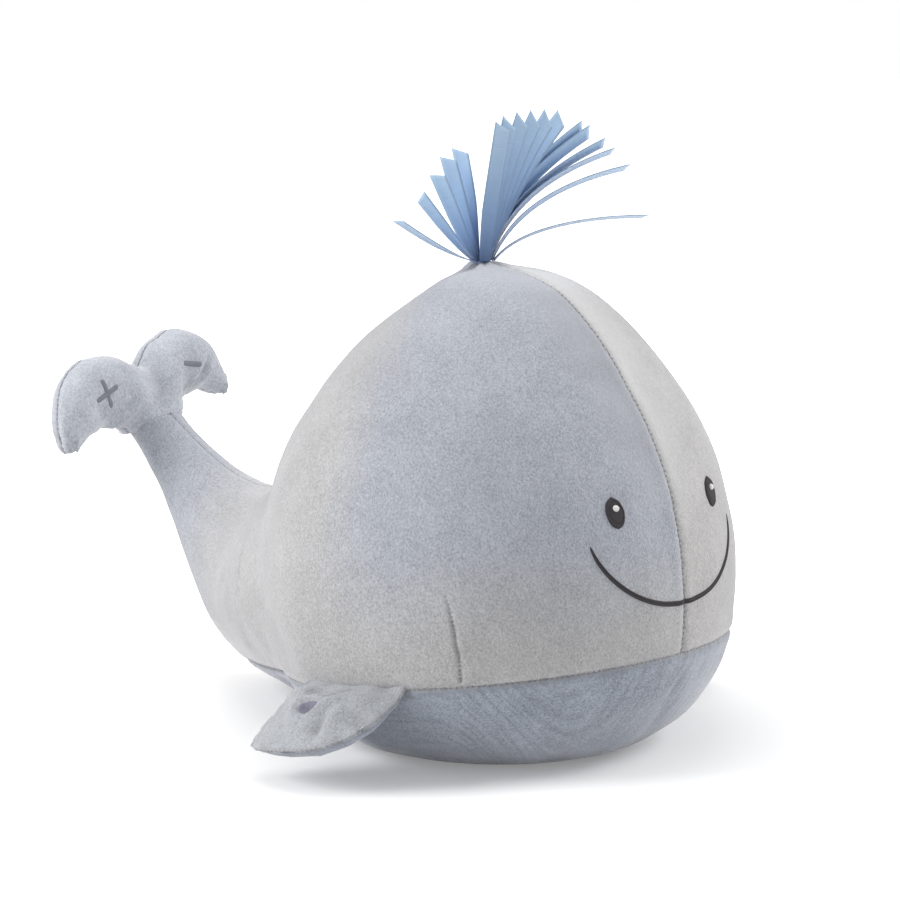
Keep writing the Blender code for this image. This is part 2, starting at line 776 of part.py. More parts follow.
def ribbon(name, start, tip, steepness, flat_side, finish):
    """A strip of ribbon on a curved line, pinched at its root; flat_side is the way across it."""
    rise = Vector((0.0, 0.0, 1.0))
    climb = rise * (tip.z - start.z) * steepness * RIBBON_BEND_RISE_SHARE
    bend = start + climb + (tip - start) * RIBBON_BEND_REACH_SHARE
    line = []
    for step in range(RIBBON_STEPS + 1):
        t = step / RIBBON_STEPS
        line.append(start * (1 - t) ** 2 + bend * 2 * t * (1 - t) + tip * t**2)
    rings = []
    for i, point in enumerate(line):
        ahead = (line[min(i + 1, RIBBON_STEPS)] - line[max(i - 1, 0)]).normalized()
        across = (flat_side - ahead * flat_side.dot(ahead)).normalized()
        out = ahead.cross(across)
        climbed = min((point - start).length / RIBBON_PINCH_HEIGHT, 1.0)
        width = RIBBON_ROOT_WIDTH + (RIBBON_WIDTH - RIBBON_ROOT_WIDTH) * climbed
        wide = across * width / 2
        thick = out * RIBBON_THICKNESS / 2
        rings.append([point - wide - thick, point + wide - thick, point + wide + thick, point - wide + thick])
    bm = bmesh.new()
    add_ring_loft(bm, rings)
    return as_object(name, bm, finish, smooth=False)


def make_ribbons(crown):
    """The fan of strands: left and middle ones are blades one behind another, right ones stand on edge."""
    side = Vector((math.cos(TUFT_TURN), math.sin(TUFT_TURN), 0.0))
    depth = Vector((-math.sin(TUFT_TURN), math.cos(TUFT_TURN), 0.0))
    groups = (
        (LEFT_RIBBON_SHARES, -TUFT_SIDE_STEP, TUFT_FRONT_PLACE, False),
        (MIDDLE_RIBBON_SHARES, 0.0, TUFT_FRONT_PLACE, False),
        (RIGHT_RIBBON_SHARES, TUFT_SIDE_STEP / 2, TUFT_REAR_PLACE, True),
    )
    made = []
    for shares, sideways, back, on_edge in groups:
        middle = (len(shares) - 1) / 2
        for i, (reach, climb, lean, steepness) in enumerate(shares):
            step = (i - middle) * RIBBON_PITCH
            root = side * (sideways + (step if on_edge else 0.0)) + depth * (back + (0.0 if on_edge else step))
            lift = TUFT_SEAT + root.length * TUFT_SWAY_SLOPE
            start = crown + root + Vector((0.0, 0.0, lift))
            tip = crown + root + side * reach * TUFT_SPREAD + depth * lean * TUFT_DEPTH
            tip.z += climb * TUFT_HEIGHT
            flat_side = depth if on_edge else side
            made.append(ribbon(f"ribbon_{len(made) + 1:02d}", start, tip, steepness, flat_side, BLUE_SATIN))
    return made


# Embroidery


def prism(outline, front, depth):
    """A closed prism on an outline in X and Z, running from front along +Y."""
    bm = bmesh.new()
    face = bm.faces.new([bm.verts.new((x, front, z)) for x, z in outline])
    made = bmesh.ops.extrude_face_region(bm, geom=[face], use_keep_orig=True)
    for item in made["geom"]:
        if isinstance(item, bmesh.types.BMVert):
            item.co.y += depth
    return bm


def stitched_on_face(name, outline, form, finish):
    """A patch of embroidery on the face, as thick as its thread."""
    patch = as_object(name, prism(outline, -HEAD_RADIUS - OVERRUN, FACE_DEPTH), finish)
    boolean(patch, form["above"], "INTERSECT")
    boolean(patch, form["under"])
    return patch


def eye_outline(side):
    half = smooth_line(EYE_SHARES, 3)
    right = [(x * EYE_WIDTH, z * EYE_HEIGHT) for x, z in half]
    left = [(-x, z) for x, z in right[-2:0:-1]]
    middle = EYE_LEFT_SIDE if side > 0 else -EYE_RIGHT_SIDE
    return [(middle + x, EYE_PLACE_HEIGHT + z) for x, z in right + left]


def smile_outline():
    """A round bow that tapers at both corners."""
    line = []
    for k in range(SMILE_STEPS + 1):
        share = math.sin(math.pi * (k / SMILE_STEPS - 0.5))
        drop = SMILE_DROP * max(1 - abs(share) ** SMILE_POWER, 0.0) ** SMILE_ROUNDNESS
        line.append(Vector((share * SMILE_SIDE, SMILE_CORNER_HEIGHT - drop)))
    lower, upper = [], []
    for k, point in enumerate(line):
        ahead = (line[min(k + 1, SMILE_STEPS)] - line[max(k - 1, 0)]).normalized()
        side = Vector((-ahead.y, ahead.x)) * SMILE_THICKNESS / 2
        side *= SMILE_CORNER_SHARE + (1 - SMILE_CORNER_SHARE) * math.sqrt(math.sin(math.pi * k / SMILE_STEPS))
        lower.append(tuple(point - side))
        upper.append(tuple(point + side))
    return lower + upper[::-1]


def sign_outline(kind):
    """Outline of a sign about its middle, turned to its place."""
    arm = SIGN_STROKE / 2
    end = (MINUS_SIZE if kind == "minus" else PLUS_SIZE) / 2
    if kind == "note":
        outline = [Vector((x * NOTE_SIZE, z * NOTE_SIZE)) for x, z in NOTE_SHARES]
    elif kind == "minus":
        outline = [Vector(corner) for corner in ((-end, -arm), (end, -arm), (end, arm), (-end, arm))]
    else:
        quarter = [Vector(corner) for corner in ((arm, end), (arm, arm), (end, arm))]
        turns = [Matrix.Rotation(-math.pi / 2 * k, 2) for k in range(4)]
        outline = [turn @ corner for turn in turns for corner in quarter]
    turn = Matrix.Rotation(SIGN_TURNS[kind], 2)
    return [tuple(turn @ corner) for corner in outline]


def make_sign(kind, limb, along, across):
    """A stitched sign on a limb's front, at a place along and across it, as thick as its thread."""
    name = f"{kind}_sign"
    above = as_cutter(f"{name}_top", limb.solid(-1.5 * GAP - STITCH_HEIGHT))
    under = as_cutter(f"{name}_foot", limb.solid(-1.5 * GAP))
    depth = limb.thick + OVERRUN
    bm = prism(sign_outline(kind), -depth, depth)
    bm.transform(limb.frame @ Matrix.Translation((along, 0.0, across)))
    sign = as_object(name, bm, GREY_THREAD)
    boolean(sign, above, "INTERSECT")
    boolean(sign, under)
    return sign


# Press buttons


def make_button(word, frame, radius, height, limb_filling, reach):
    """A cup with a cap that slides into it, in a pocket of the stuffing; the frame's -Y looks out."""
    cup = bmesh.new()
    add_cylinder(cup, radius, (0.0, height / 2, 0.0), (0.0, -height / 2, 0.0))
    cup.transform(frame)
    base = as_object(f"button_{word}_base", cup, WHITE_PLASTIC)
    room = bmesh.new()
    floor = height / 2 - BUTTON_WALL
    add_cylinder(room, radius - BUTTON_WALL, (0.0, floor, 0.0), (0.0, -height / 2 - OVERRUN, 0.0))
    room.transform(frame)
    boolean(base, as_cutter(f"button_{word}_room", room))
    cap = bmesh.new()
    fit = radius - BUTTON_WALL - GAP
    top = -height / 2 - GAP
    add_cylinder(cap, fit, (0.0, top + BUTTON_CAP_THICKNESS, 0.0), (0.0, top, 0.0))
    cap.transform(frame)
    slider = as_object(f"button_{word}_cap", cap, WHITE_PLASTIC)
    pill = bmesh.new()
    deep = floor - GAP - BUTTON_TRAVEL
    add_cylinder(pill, fit / 3, (0.0, deep, 0.0), (0.0, top + BUTTON_CAP_THICKNESS / 2, 0.0), 12)
    pill.transform(frame)
    boolean(slider, as_cutter(f"button_{word}_pill", pill), "UNION")
    pocket = bmesh.new()
    add_cylinder(pocket, radius + GAP, (0.0, height / 2 + GAP, 0.0), (0.0, -reach, 0.0))
    pocket.transform(frame)
    boolean(limb_filling, as_cutter(f"button_{word}_pocket", pocket))
    return base, pivot(f"button_{word}_pivot", frame.translation, [slider])


# Sound module

CASE_FLOOR = CASE_LIFT
CASE_SPLIT = CASE_LIFT + CASE_TRAY_HEIGHT
CASE_TOP = CASE_SPLIT + GAP + CASE_COVER_HEIGHT


def case_block(size_cut, low, high, radius):
    """A rounded block on the module's upright axis, smaller than the case by size_cut on each side."""
    bm = bmesh.new()
    size = (CASE_LENGTH - 2 * size_cut, CASE_DEPTH - 2 * size_cut, high - low)
    add_rounded_box(bm, size, (0.0, CASE_PLACE, (low + high) / 2), radius)
    return bm


def screw_places():
    inset = CASE_WALL + GAP + BOSS_RADIUS
    across = CASE_LENGTH / 2 - inset
    along = CASE_DEPTH / 2 - inset
    return [(-across, CASE_PLACE + along), (across, CASE_PLACE - along)]


def make_case():
    tray = as_object("module_case_base", case_block(0.0, CASE_FLOOR, CASE_SPLIT, CASE_CORNER), WHITE_PLASTIC)
    inside = case_block(CASE_WALL, CASE_FLOOR + CASE_WALL, CASE_SPLIT + OVERRUN, CASE_CORNER - CASE_WALL)
    boolean(tray, as_cutter("tray_room", inside))
    opening = bmesh.new()
    door_length = CASE_LENGTH - 2 * DOOR_END_ROOM
    door_width = CASE_DEPTH - 2 * DOOR_SIDE_ROOM
    door_centre = (0.0, CASE_PLACE, CASE_FLOOR + CASE_WALL / 2)
    add_box(opening, (door_length, door_width, CASE_WALL + OVERRUN), door_centre)
    slot = (SWITCH_LENGTH + 2 * SWITCH_TRAVEL, SWITCH_WIDTH, CASE_WALL + OVERRUN)
    switch_place = CASE_PLACE - CASE_DEPTH / 2 + CASE_WALL + SWITCH_WIDTH
    add_box(opening, slot, (0.0, switch_place, CASE_FLOOR + CASE_WALL / 2))
    boolean(tray, as_cutter("tray_openings", opening))
    door = bmesh.new()
    add_box(door, (door_length - 2 * GAP, door_width - 2 * GAP, CASE_WALL), door_centre)
    as_object("battery_door", door, WHITE_PLASTIC, smooth=False)
    slider = bmesh.new()
    knob = (SWITCH_LENGTH - 2 * GAP, SWITCH_WIDTH - 2 * GAP, SWITCH_HEIGHT)
    add_box(slider, knob, (0.0, switch_place, CASE_FLOOR + SWITCH_HEIGHT / 2 - GAP))
    switch = as_object("power_switch_slider", slider, BLACK_PLASTIC, smooth=False)
    flange = bmesh.new()
    wide = (SWITCH_LENGTH, SWITCH_WIDTH + 4 * GAP, SWITCH_HEIGHT / 3)
    add_box(flange, wide, (0.0, switch_place, CASE_FLOOR + CASE_WALL + GAP + SWITCH_HEIGHT / 6))
    boolean(switch, as_cutter("switch_flange", flange), "UNION")
    pivot("power_switch_pivot", (0.0, switch_place, CASE_FLOOR), [switch])

    low = CASE_SPLIT + GAP
    cover = as_object("module_case_cover", case_block(0.0, low, CASE_TOP, CASE_CORNER), WHITE_PLASTIC)
    hollow = case_block(CASE_WALL, low - OVERRUN, CASE_TOP - CASE_WALL, CASE_CORNER - CASE_WALL)
    boolean(cover, as_cutter("cover_room", hollow))
    bosses = bmesh.new()
    shafts = bmesh.new()
    foot = CASE_FLOOR + CASE_WALL + GAP
    for x, y in screw_places():
        add_cylinder(bosses, BOSS_RADIUS, (x, y, foot), (x, y, CASE_TOP - CASE_WALL / 2), 12)
        add_cylinder(shafts, SCREW_RADIUS + GAP, (x, y, CASE_FLOOR - OVERRUN), (x, y, CASE_SPLIT), 12)
    boolean(cover, as_cutter("cover_bosses", bosses), "UNION")
    shaft_cutter = as_cutter("screw_shafts", shafts)
    boolean(cover, shaft_cutter)
    boolean(tray, shaft_cutter)
    grille = bmesh.new()
    for k in range(GRILLE_HOLES):
        angle = math.tau * k / GRILLE_HOLES
        x = GRILLE_RING_RADIUS * math.cos(angle)
        y = CASE_PLACE + GRILLE_RING_RADIUS * math.sin(angle)
        ends = ((x, y, CASE_TOP - CASE_WALL - OVERRUN / 4), (x, y, CASE_TOP + OVERRUN))
        add_cylinder(grille, GRILLE_HOLE_RADIUS, *ends, 8)
    boolean(cover, as_cutter("grille_holes", grille))
    notch = bmesh.new()
    gate = (8 * LEAD_RADIUS, 3 * CASE_WALL, 8 * LEAD_RADIUS)
    add_box(notch, gate, (0.0, CASE_PLACE + CASE_DEPTH / 2, low + 2 * LEAD_RADIUS))
    add_box(notch, (gate[1], gate[0], gate[2]), (-CASE_LENGTH / 2, CASE_PLACE, low + 2 * LEAD_RADIUS))
    boolean(cover, as_cutter("lead_notches", notch))

    for number, (x, y) in enumerate(screw_places(), start=1):
        screw = bmesh.new()
        head = CASE_FLOOR - GAP
        add_cylinder(screw, SCREW_HEAD_RADIUS, (x, y, head - SCREW_HEAD_HEIGHT), (x, y, head), 14)
        fastener = as_object(f"case_screw_{number}", screw, BRIGHT_STEEL)
        shank = bmesh.new()
        add_cylinder(shank, SCREW_RADIUS, (x, y, head - SCREW_HEAD_HEIGHT / 2), (x, y, CASE_SPLIT - GAP), 12)
        boolean(fastener, as_cutter(f"screw_shank_{number}", shank), "UNION")


def make_electrics():
    """Batteries, contacts, board and loudspeaker, stacked in the case."""
    low = CASE_FLOOR + CASE_WALL + GAP + BATTERY_RADIUS
    for number, side in enumerate((-1, 1), start=1):
        y = CASE_PLACE + side * (BATTERY_RADIUS + GAP)
        start = -side * BATTERY_LENGTH / 2
        cell = bmesh.new()
        add_cylinder(cell, BATTERY_RADIUS, (start, y, low), (-start - side * BATTERY_TIP, y, low), 18)
        battery = as_object(f"battery_{number}", cell, CELL_WRAP)
        tip = bmesh.new()
        add_cylinder(tip, BATTERY_TIP_RADIUS, (0.0, y, low), (-start, y, low), 12)
        boolean(battery, as_cutter(f"battery_tip_{number}", tip), "UNION")
        contact = bmesh.new()
        x = side * (BATTERY_LENGTH / 2 + GAP + CONTACT_THICKNESS / 2)
        height = CASE_FLOOR + CASE_WALL + GAP + CONTACT_HEIGHT / 2
        add_box(contact, (CONTACT_THICKNESS, 3.4 * BATTERY_RADIUS, CONTACT_HEIGHT), (x, CASE_PLACE, height))
        as_object(f"battery_contact_{number}", contact, BRIGHT_STEEL, smooth=False)
    board = bmesh.new()
    board_length = CASE_LENGTH - 2 * BOARD_END_ROOM
    board_low = low + BATTERY_RADIUS + GAP
    add_box(board, (board_length, CASE_DEPTH - 2 * BOARD_SIDE_ROOM, BOARD_THICKNESS), (0.0, CASE_PLACE, board_low + BOARD_THICKNESS / 2))
    circuit = as_object("circuit_board", board, GREEN_BOARD, smooth=False)
    chip = bmesh.new()
    chip_height = board_low + BOARD_THICKNESS + CHIP_HEIGHT / 2 - GAP
    add_box(chip, (CHIP_SIZE, CHIP_SIZE, CHIP_HEIGHT), (-board_length / 3, CASE_PLACE, chip_height))
    boolean(circuit, as_cutter("sound_chip", chip), "UNION")
    speaker = bmesh.new()
    seat = CASE_TOP - CASE_WALL - GAP
    ring = (0.0, CASE_PLACE, seat)
    throat = (0.0, CASE_PLACE, seat - SPEAKER_HEIGHT / 2)
    add_cylinder(speaker, MAGNET_RADIUS, throat, ring, 24, SPEAKER_RADIUS)
    cone = as_object("loudspeaker", speaker, BLACK_PLASTIC)
    magnet = bmesh.new()
    add_cylinder(magnet, MAGNET_RADIUS, (0.0, CASE_PLACE, seat - SPEAKER_HEIGHT), (0.0, CASE_PLACE, throat[2] + GAP), 24)
    boolean(cone, as_cutter("speaker_magnet", magnet), "UNION")


def make_pouch(belly):
    """The cloth bag round the case, and the slit under it with its hook and loop strips."""
    top = CASE_TOP + GAP + POUCH_WALL
    foot = CASE_FLOOR - SCREW_HEAD_HEIGHT - GAP
    pouch = as_object("module_pouch", case_block(-GAP - POUCH_WALL, foot, top, CASE_CORNER), POUCH_CLOTH)
    room = case_block(-GAP, foot - OVERRUN, CASE_TOP + GAP, CASE_CORNER)
    boolean(pouch, as_cutter("pouch_room", room))
    gates = bmesh.new()
    gate_height = CASE_SPLIT + GAP + 2 * LEAD_RADIUS
    wide = 6 * LEAD_RADIUS
    add_box(gates, (wide, 4 * OVERRUN, wide), (0.0, CASE_PLACE + CASE_DEPTH / 2, gate_height))
    add_box(gates, (4 * OVERRUN, wide, wide), (-CASE_LENGTH / 2, CASE_PLACE, gate_height))
    boolean(pouch, as_cutter("pouch_gates", gates))
    slit = bmesh.new()
    slit_length = CASE_LENGTH - 2 * SLIT_END_ROOM
    add_box(slit, (slit_length, SLIT_WIDTH, 4 * FABRIC), (0.0, CASE_PLACE, 0.0))
    boolean(belly, as_cutter("belly_slit", slit))
    for number, (name, finish) in enumerate((("hook_strip", WHITE_PLASTIC), ("loop_strip", POUCH_CLOTH))):
        strip = bmesh.new()
        height = FABRIC + GAP + CLOSURE_THICKNESS / 2 + number * (CLOSURE_THICKNESS + GAP)
        add_box(strip, (slit_length, CLOSURE_WIDTH, CLOSURE_THICKNESS), (0.0, CASE_PLACE, height))
        as_object(name, strip, finish, smooth=False)


# Leads


def tube(name, points, radius, sides_level=1):
    """A round tube through points, its caps welded on."""
    curve = bpy.data.curves.new(name, "CURVE")
    curve.dimensions = "3D"
    curve.bevel_depth = radius
    curve.bevel_resolution = sides_level
    curve.use_fill_caps = True
    spline = curve.splines.new("POLY")
    spline.points.add(len(points) - 1)
    for target, point in zip(spline.points, points):
        target.co = (*point, 1.0)
    guide = bpy.data.objects.new(name, curve)
    bpy.context.scene.collection.objects.link(guide)
    bpy.context.view_layer.update()
    mesh = bpy.data.meshes.new_from_object(guide.evaluated_get(bpy.context.evaluated_depsgraph_get()))
    bm = bmesh.new()
    bm.from_mesh(mesh)
    bmesh.ops.remove_doubles(bm, verts=bm.verts, dist=MERGE)
    bpy.data.objects.remove(guide)
    bpy.data.meshes.remove(mesh)
    return bm


def lead_with_channel(name, points, fillings):
    """A lead along its route, and the channel that it needs through the stuffing."""
    lead = as_object(name, tube(name, points, LEAD_RADIUS), BLACK_PLASTIC)
    first = Vector(points[0]) + (Vector(points[0]) - Vector(points[1])).normalized() * OVERRUN
    last = Vector(points[-1]) + (Vector(points[-1]) - Vector(points[-2])).normalized() * OVERRUN
    wide = tube(f"{name}_channel", [first, *points, last], LEAD_RADIUS + GAP)
    channel = as_cutter(f"{name}_channel", wide)
    for filling in fillings:
        boolean(filling, channel)
    return lead


def main():
    form = fused_body()
    above = Vector((0.0, TUFT_PLACE_SHARE * HEAD_RADIUS, 2 * HEAD_HEIGHT))
    crown = BVHTree.FromBMesh(form).ray_cast(above, Vector((0.0, 0.0, -1.0)))[0]
    seamed = seamed_form(form)
    skin_panel("side_panel_right", seamed, 1, PALE_VELOUR)
    skin_panel("side_panel_left", seamed, 2, PALE_VELOUR)
    belly = skin_panel("belly_panel", seamed, 3, BLUE_VELOUR)
    seamed.free()

    neck = Vector((0.0, NECK_PLACE, NECK_HEIGHT))
    neck_normal = Vector((0.0, math.cos(NECK_TILT), math.sin(NECK_TILT)))
    body_stuffing = sunken_form(form, FABRIC + GAP)
    cut_off(body_stuffing, neck - neck_normal * GAP / 2, neck_normal)
    body_filling = as_object("body_filling", body_stuffing, STUFFING)
    tail_stuffing = sunken_form(form, FABRIC + GAP)
    cut_off(tail_stuffing, neck + neck_normal * GAP / 2, -neck_normal)
    cut_off(tail_stuffing, FLUKE_SEAM - FLUKE_UP * GAP, FLUKE_UP)
    tail_filling = as_object("tail_filling", tail_stuffing, STUFFING)

    above = as_cutter("thread_top", sunken_form(form, -GAP - STITCH_HEIGHT))
    under = as_cutter("thread_foot", sunken_form(form, -GAP))
    shells = {"above": above, "under": under}
    stitched_on_face("eye_right", eye_outline(-1), shells, DARK_THREAD)
    stitched_on_face("eye_left", eye_outline(1), shells, DARK_THREAD)
    stitched_on_face("smile", smile_outline(), shells, DARK_THREAD)
    form.free()

    limb, front, back, fluke_filling = make_fluke()
    fluke_pieces = [front, back, fluke_filling]
    face = FLUKE_HALF_THICKNESS * FLUKE_FACE_SHARE
    places = (("plus", -PLUS_SIDE_SHARE, PLUS_HEIGHT_SHARE), ("minus", MINUS_SIDE_SHARE, MINUS_HEIGHT_SHARE))
    for word, side, height in places:
        sign_x, sign_z = side * FLUKE_HALF_LENGTH, height * FLUKE_HEIGHT
        fluke_pieces.append(make_sign(word, limb, sign_x, sign_z))
        seat = FLUKE_FRAME @ Matrix.Translation((sign_x, -face + FABRIC + BUTTON_DEPTH + BUTTON_HEIGHT / 2, sign_z))
        fluke_pieces.extend(
            make_button(word, seat, BUTTON_RADIUS, BUTTON_HEIGHT, fluke_filling, FLUKE_HALF_THICKNESS)
        )

    flipper_pieces = {}
    for side, word in ((-1, "right"), (1, "left")):
        limb, upper, lower, filling = make_flipper(side, word)
        flipper_pieces[word] = [upper, lower, filling]
        if side < 0:
            along = FLIPPER_LENGTH * NOTE_PLACE_SHARE
            across = FLIPPER_REACH * NOTE_REACH_SHARE
            top = FLIPPER_HALF_THICKNESS
            flipper_pieces[word].append(make_sign("note", limb, along, across))
            depth = -top + FABRIC + FLIPPER_BUTTON_DEPTH + FLIPPER_BUTTON_HEIGHT / 2
            seat = limb.frame @ Matrix.Translation((along, depth, across))
            button = make_button("note", seat, FLIPPER_BUTTON_RADIUS, FLIPPER_BUTTON_HEIGHT, filling, top)
            flipper_pieces[word].extend(button)

    ribbons = make_ribbons(crown)
    make_case()
    make_electrics()
    make_pouch(belly)

    pocket = bmesh.new()
    size = (CASE_LENGTH + 4 * GAP + 2 * POUCH_WALL, CASE_DEPTH + 4 * GAP + 2 * POUCH_WALL)
    top = CASE_TOP + 2 * GAP + POUCH_WALL
    add_box(pocket, (*size, top + OVERRUN), (0.0, CASE_PLACE, (top - OVERRUN) / 2))
    boolean(body_filling, as_cutter("module_room", pocket))

    exit_height = CASE_SPLIT + GAP + 2 * LEAD_RADIUS
    rear = Vector((0.0, CASE_PLACE + CASE_DEPTH / 2 - CASE_WALL, exit_height))
    outside = rear + Vector((0.0, CASE_WALL + 2 * OVERRUN, 0.0))
    tail_route = [rear, outside] + [tail_point(reach, rise) for reach, rise in TAIL_LEAD_SHARES[1:]]
    tail_route.append(FLUKE_SEAM - FLUKE_UP * GAP)
    lead_with_channel("lead_to_fluke", tail_route, (body_filling, tail_filling))
    side_exit = Vector((-CASE_LENGTH / 2 + CASE_WALL, CASE_PLACE, exit_height))
    wall_inside = Vector((-HEAD_RADIUS + 4 * OVERRUN, FLIPPER_ROOT_REAR / 2, FLIPPER_ROOT_FRONT_HEIGHT))
    bend = (side_exit + wall_inside) / 2 + Vector((0.0, 0.0, -2 * LEAD_RADIUS))
    beside = side_exit - Vector((2 * OVERRUN, 0.0, 0.0))
    lead_with_channel("lead_to_flipper", [side_exit, beside, bend, wall_inside], (body_filling,))

    pivot("fluke_pivot", FLUKE_SEAM, fluke_pieces)
    for side, word in ((-1, "right"), (1, "left")):
        pivot(f"flipper_{word}_pivot", flipper_frame(side).translation, flipper_pieces[word])
    pivot("tuft_pivot", crown, ribbons)


main()
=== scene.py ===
"""Looks of the stuffed whale: velour panels, embroidery, ribbon tuft and stage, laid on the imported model."""

from __future__ import annotations

import json
import logging
import math
from dataclasses import dataclass, field
from enum import Enum
from typing import Any, Callable, Sequence

import bmesh
import bpy
import numpy as np
from mathutils import Matrix, Vector, noise
from mathutils.bvhtree import BVHTree
from mathutils.kdtree import KDTree

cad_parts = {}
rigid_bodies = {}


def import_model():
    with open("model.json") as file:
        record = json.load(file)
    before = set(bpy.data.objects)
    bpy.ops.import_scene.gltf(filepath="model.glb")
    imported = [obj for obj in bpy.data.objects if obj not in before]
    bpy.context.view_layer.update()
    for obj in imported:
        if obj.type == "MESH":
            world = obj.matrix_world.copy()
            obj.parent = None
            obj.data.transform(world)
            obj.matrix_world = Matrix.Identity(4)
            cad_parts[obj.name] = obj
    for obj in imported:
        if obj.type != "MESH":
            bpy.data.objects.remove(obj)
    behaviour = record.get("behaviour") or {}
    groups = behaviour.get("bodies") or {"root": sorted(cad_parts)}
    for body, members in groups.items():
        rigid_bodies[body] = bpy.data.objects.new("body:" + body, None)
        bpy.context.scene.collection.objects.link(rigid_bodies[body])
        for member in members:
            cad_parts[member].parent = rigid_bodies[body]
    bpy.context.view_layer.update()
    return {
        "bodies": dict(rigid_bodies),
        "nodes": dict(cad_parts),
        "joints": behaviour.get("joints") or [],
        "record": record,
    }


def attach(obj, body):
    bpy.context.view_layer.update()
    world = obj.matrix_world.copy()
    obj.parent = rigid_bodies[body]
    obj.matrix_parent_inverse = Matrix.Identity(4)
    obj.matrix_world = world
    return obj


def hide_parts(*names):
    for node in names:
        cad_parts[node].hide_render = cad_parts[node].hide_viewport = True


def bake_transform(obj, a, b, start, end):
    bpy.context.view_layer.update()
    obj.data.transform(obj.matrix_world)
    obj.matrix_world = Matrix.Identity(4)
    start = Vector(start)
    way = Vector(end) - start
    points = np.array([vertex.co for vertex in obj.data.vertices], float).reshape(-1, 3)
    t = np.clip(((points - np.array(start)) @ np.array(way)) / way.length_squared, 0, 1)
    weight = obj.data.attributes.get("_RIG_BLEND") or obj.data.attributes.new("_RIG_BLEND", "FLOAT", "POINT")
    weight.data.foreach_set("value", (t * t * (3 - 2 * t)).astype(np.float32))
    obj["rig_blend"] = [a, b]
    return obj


LOG = logging.getLogger("plush_whale")
RGB = tuple[float, float, float]
MM = 0.001
SEAM_GAP = "seam_gap"
SEAM_RUN = "seam_run"
THREAD = "thread"
# Attribute of painted shade: darker in the hollows of the limbs and along a stitched crease of the body.
PAINTED_SHADE = "dart"


def srgb(red: float, green: float, blue: float) -> RGB:
    """Linear colour of a display colour.

    Args:
        red: Display value, 0 to 255.
        green: Display value, 0 to 255.
        blue: Display value, 0 to 255.

    Returns:
        The colour that a shader takes.
    """
    parts = [value / 255 for value in (red, green, blue)]
    return tuple(p / 12.92 if p <= 0.04045 else ((p + 0.055) / 1.055) ** 2.4 for p in parts)


# Shader expressions


class Sock:
    """A shader output that Python arithmetic can be written on."""

    def __init__(self, shader: Shader, socket: bpy.types.NodeSocket) -> None:
        """Keeps the socket with the shader that it belongs to."""
        self.shader = shader
        self.socket = socket

    def _math(self, operation: str, *values: Any) -> Sock:
        """One Math node on the given values."""
        return self.shader.node("ShaderNodeMath", {"operation": operation}, dict(enumerate(values)))

    def __add__(self, other: Any) -> Sock:
        """Sum."""
        return self._math("ADD", self, other)

    def __radd__(self, other: Any) -> Sock:
        """Sum, value first."""
        return self._math("ADD", other, self)

    def __sub__(self, other: Any) -> Sock:
        """Difference."""
        return self._math("SUBTRACT", self, other)

    def __rsub__(self, other: Any) -> Sock:
        """Difference, value first."""
        return self._math("SUBTRACT", other, self)

    def __mul__(self, other: Any) -> Sock:
        """Product."""
        return self._math("MULTIPLY", self, other)

    def __rmul__(self, other: Any) -> Sock:
        """Product, value first."""
        return self._math("MULTIPLY", other, self)

    def __truediv__(self, other: Any) -> Sock:
        """Quotient."""
        return self._math("DIVIDE", self, other)

    def __pow__(self, other: Any) -> Sock:
        """Power."""
        return self._math("POWER", self, other)

    def __abs__(self) -> Sock:
        """Absolute value."""
        return self._math("ABSOLUTE", self)

    def sine(self) -> Sock:
        """Sine of a value in radians."""
        return self._math("SINE", self)

    def share(self, low: float, high: float) -> Sock:
        """A smooth step.

        Args:
            low: Value at which the step starts, and is 0.
            high: Value at which it ends, and is 1.

        Returns:
            The step, from 0 to 1.
        """
        values = {"Value": self, "From Min": low, "From Max": high, "To Min": 0.0, "To Max": 1.0}
        settings = {"interpolation_type": "SMOOTHSTEP", "clamp": True}
        return self.shader.node("ShaderNodeMapRange", settings, values)


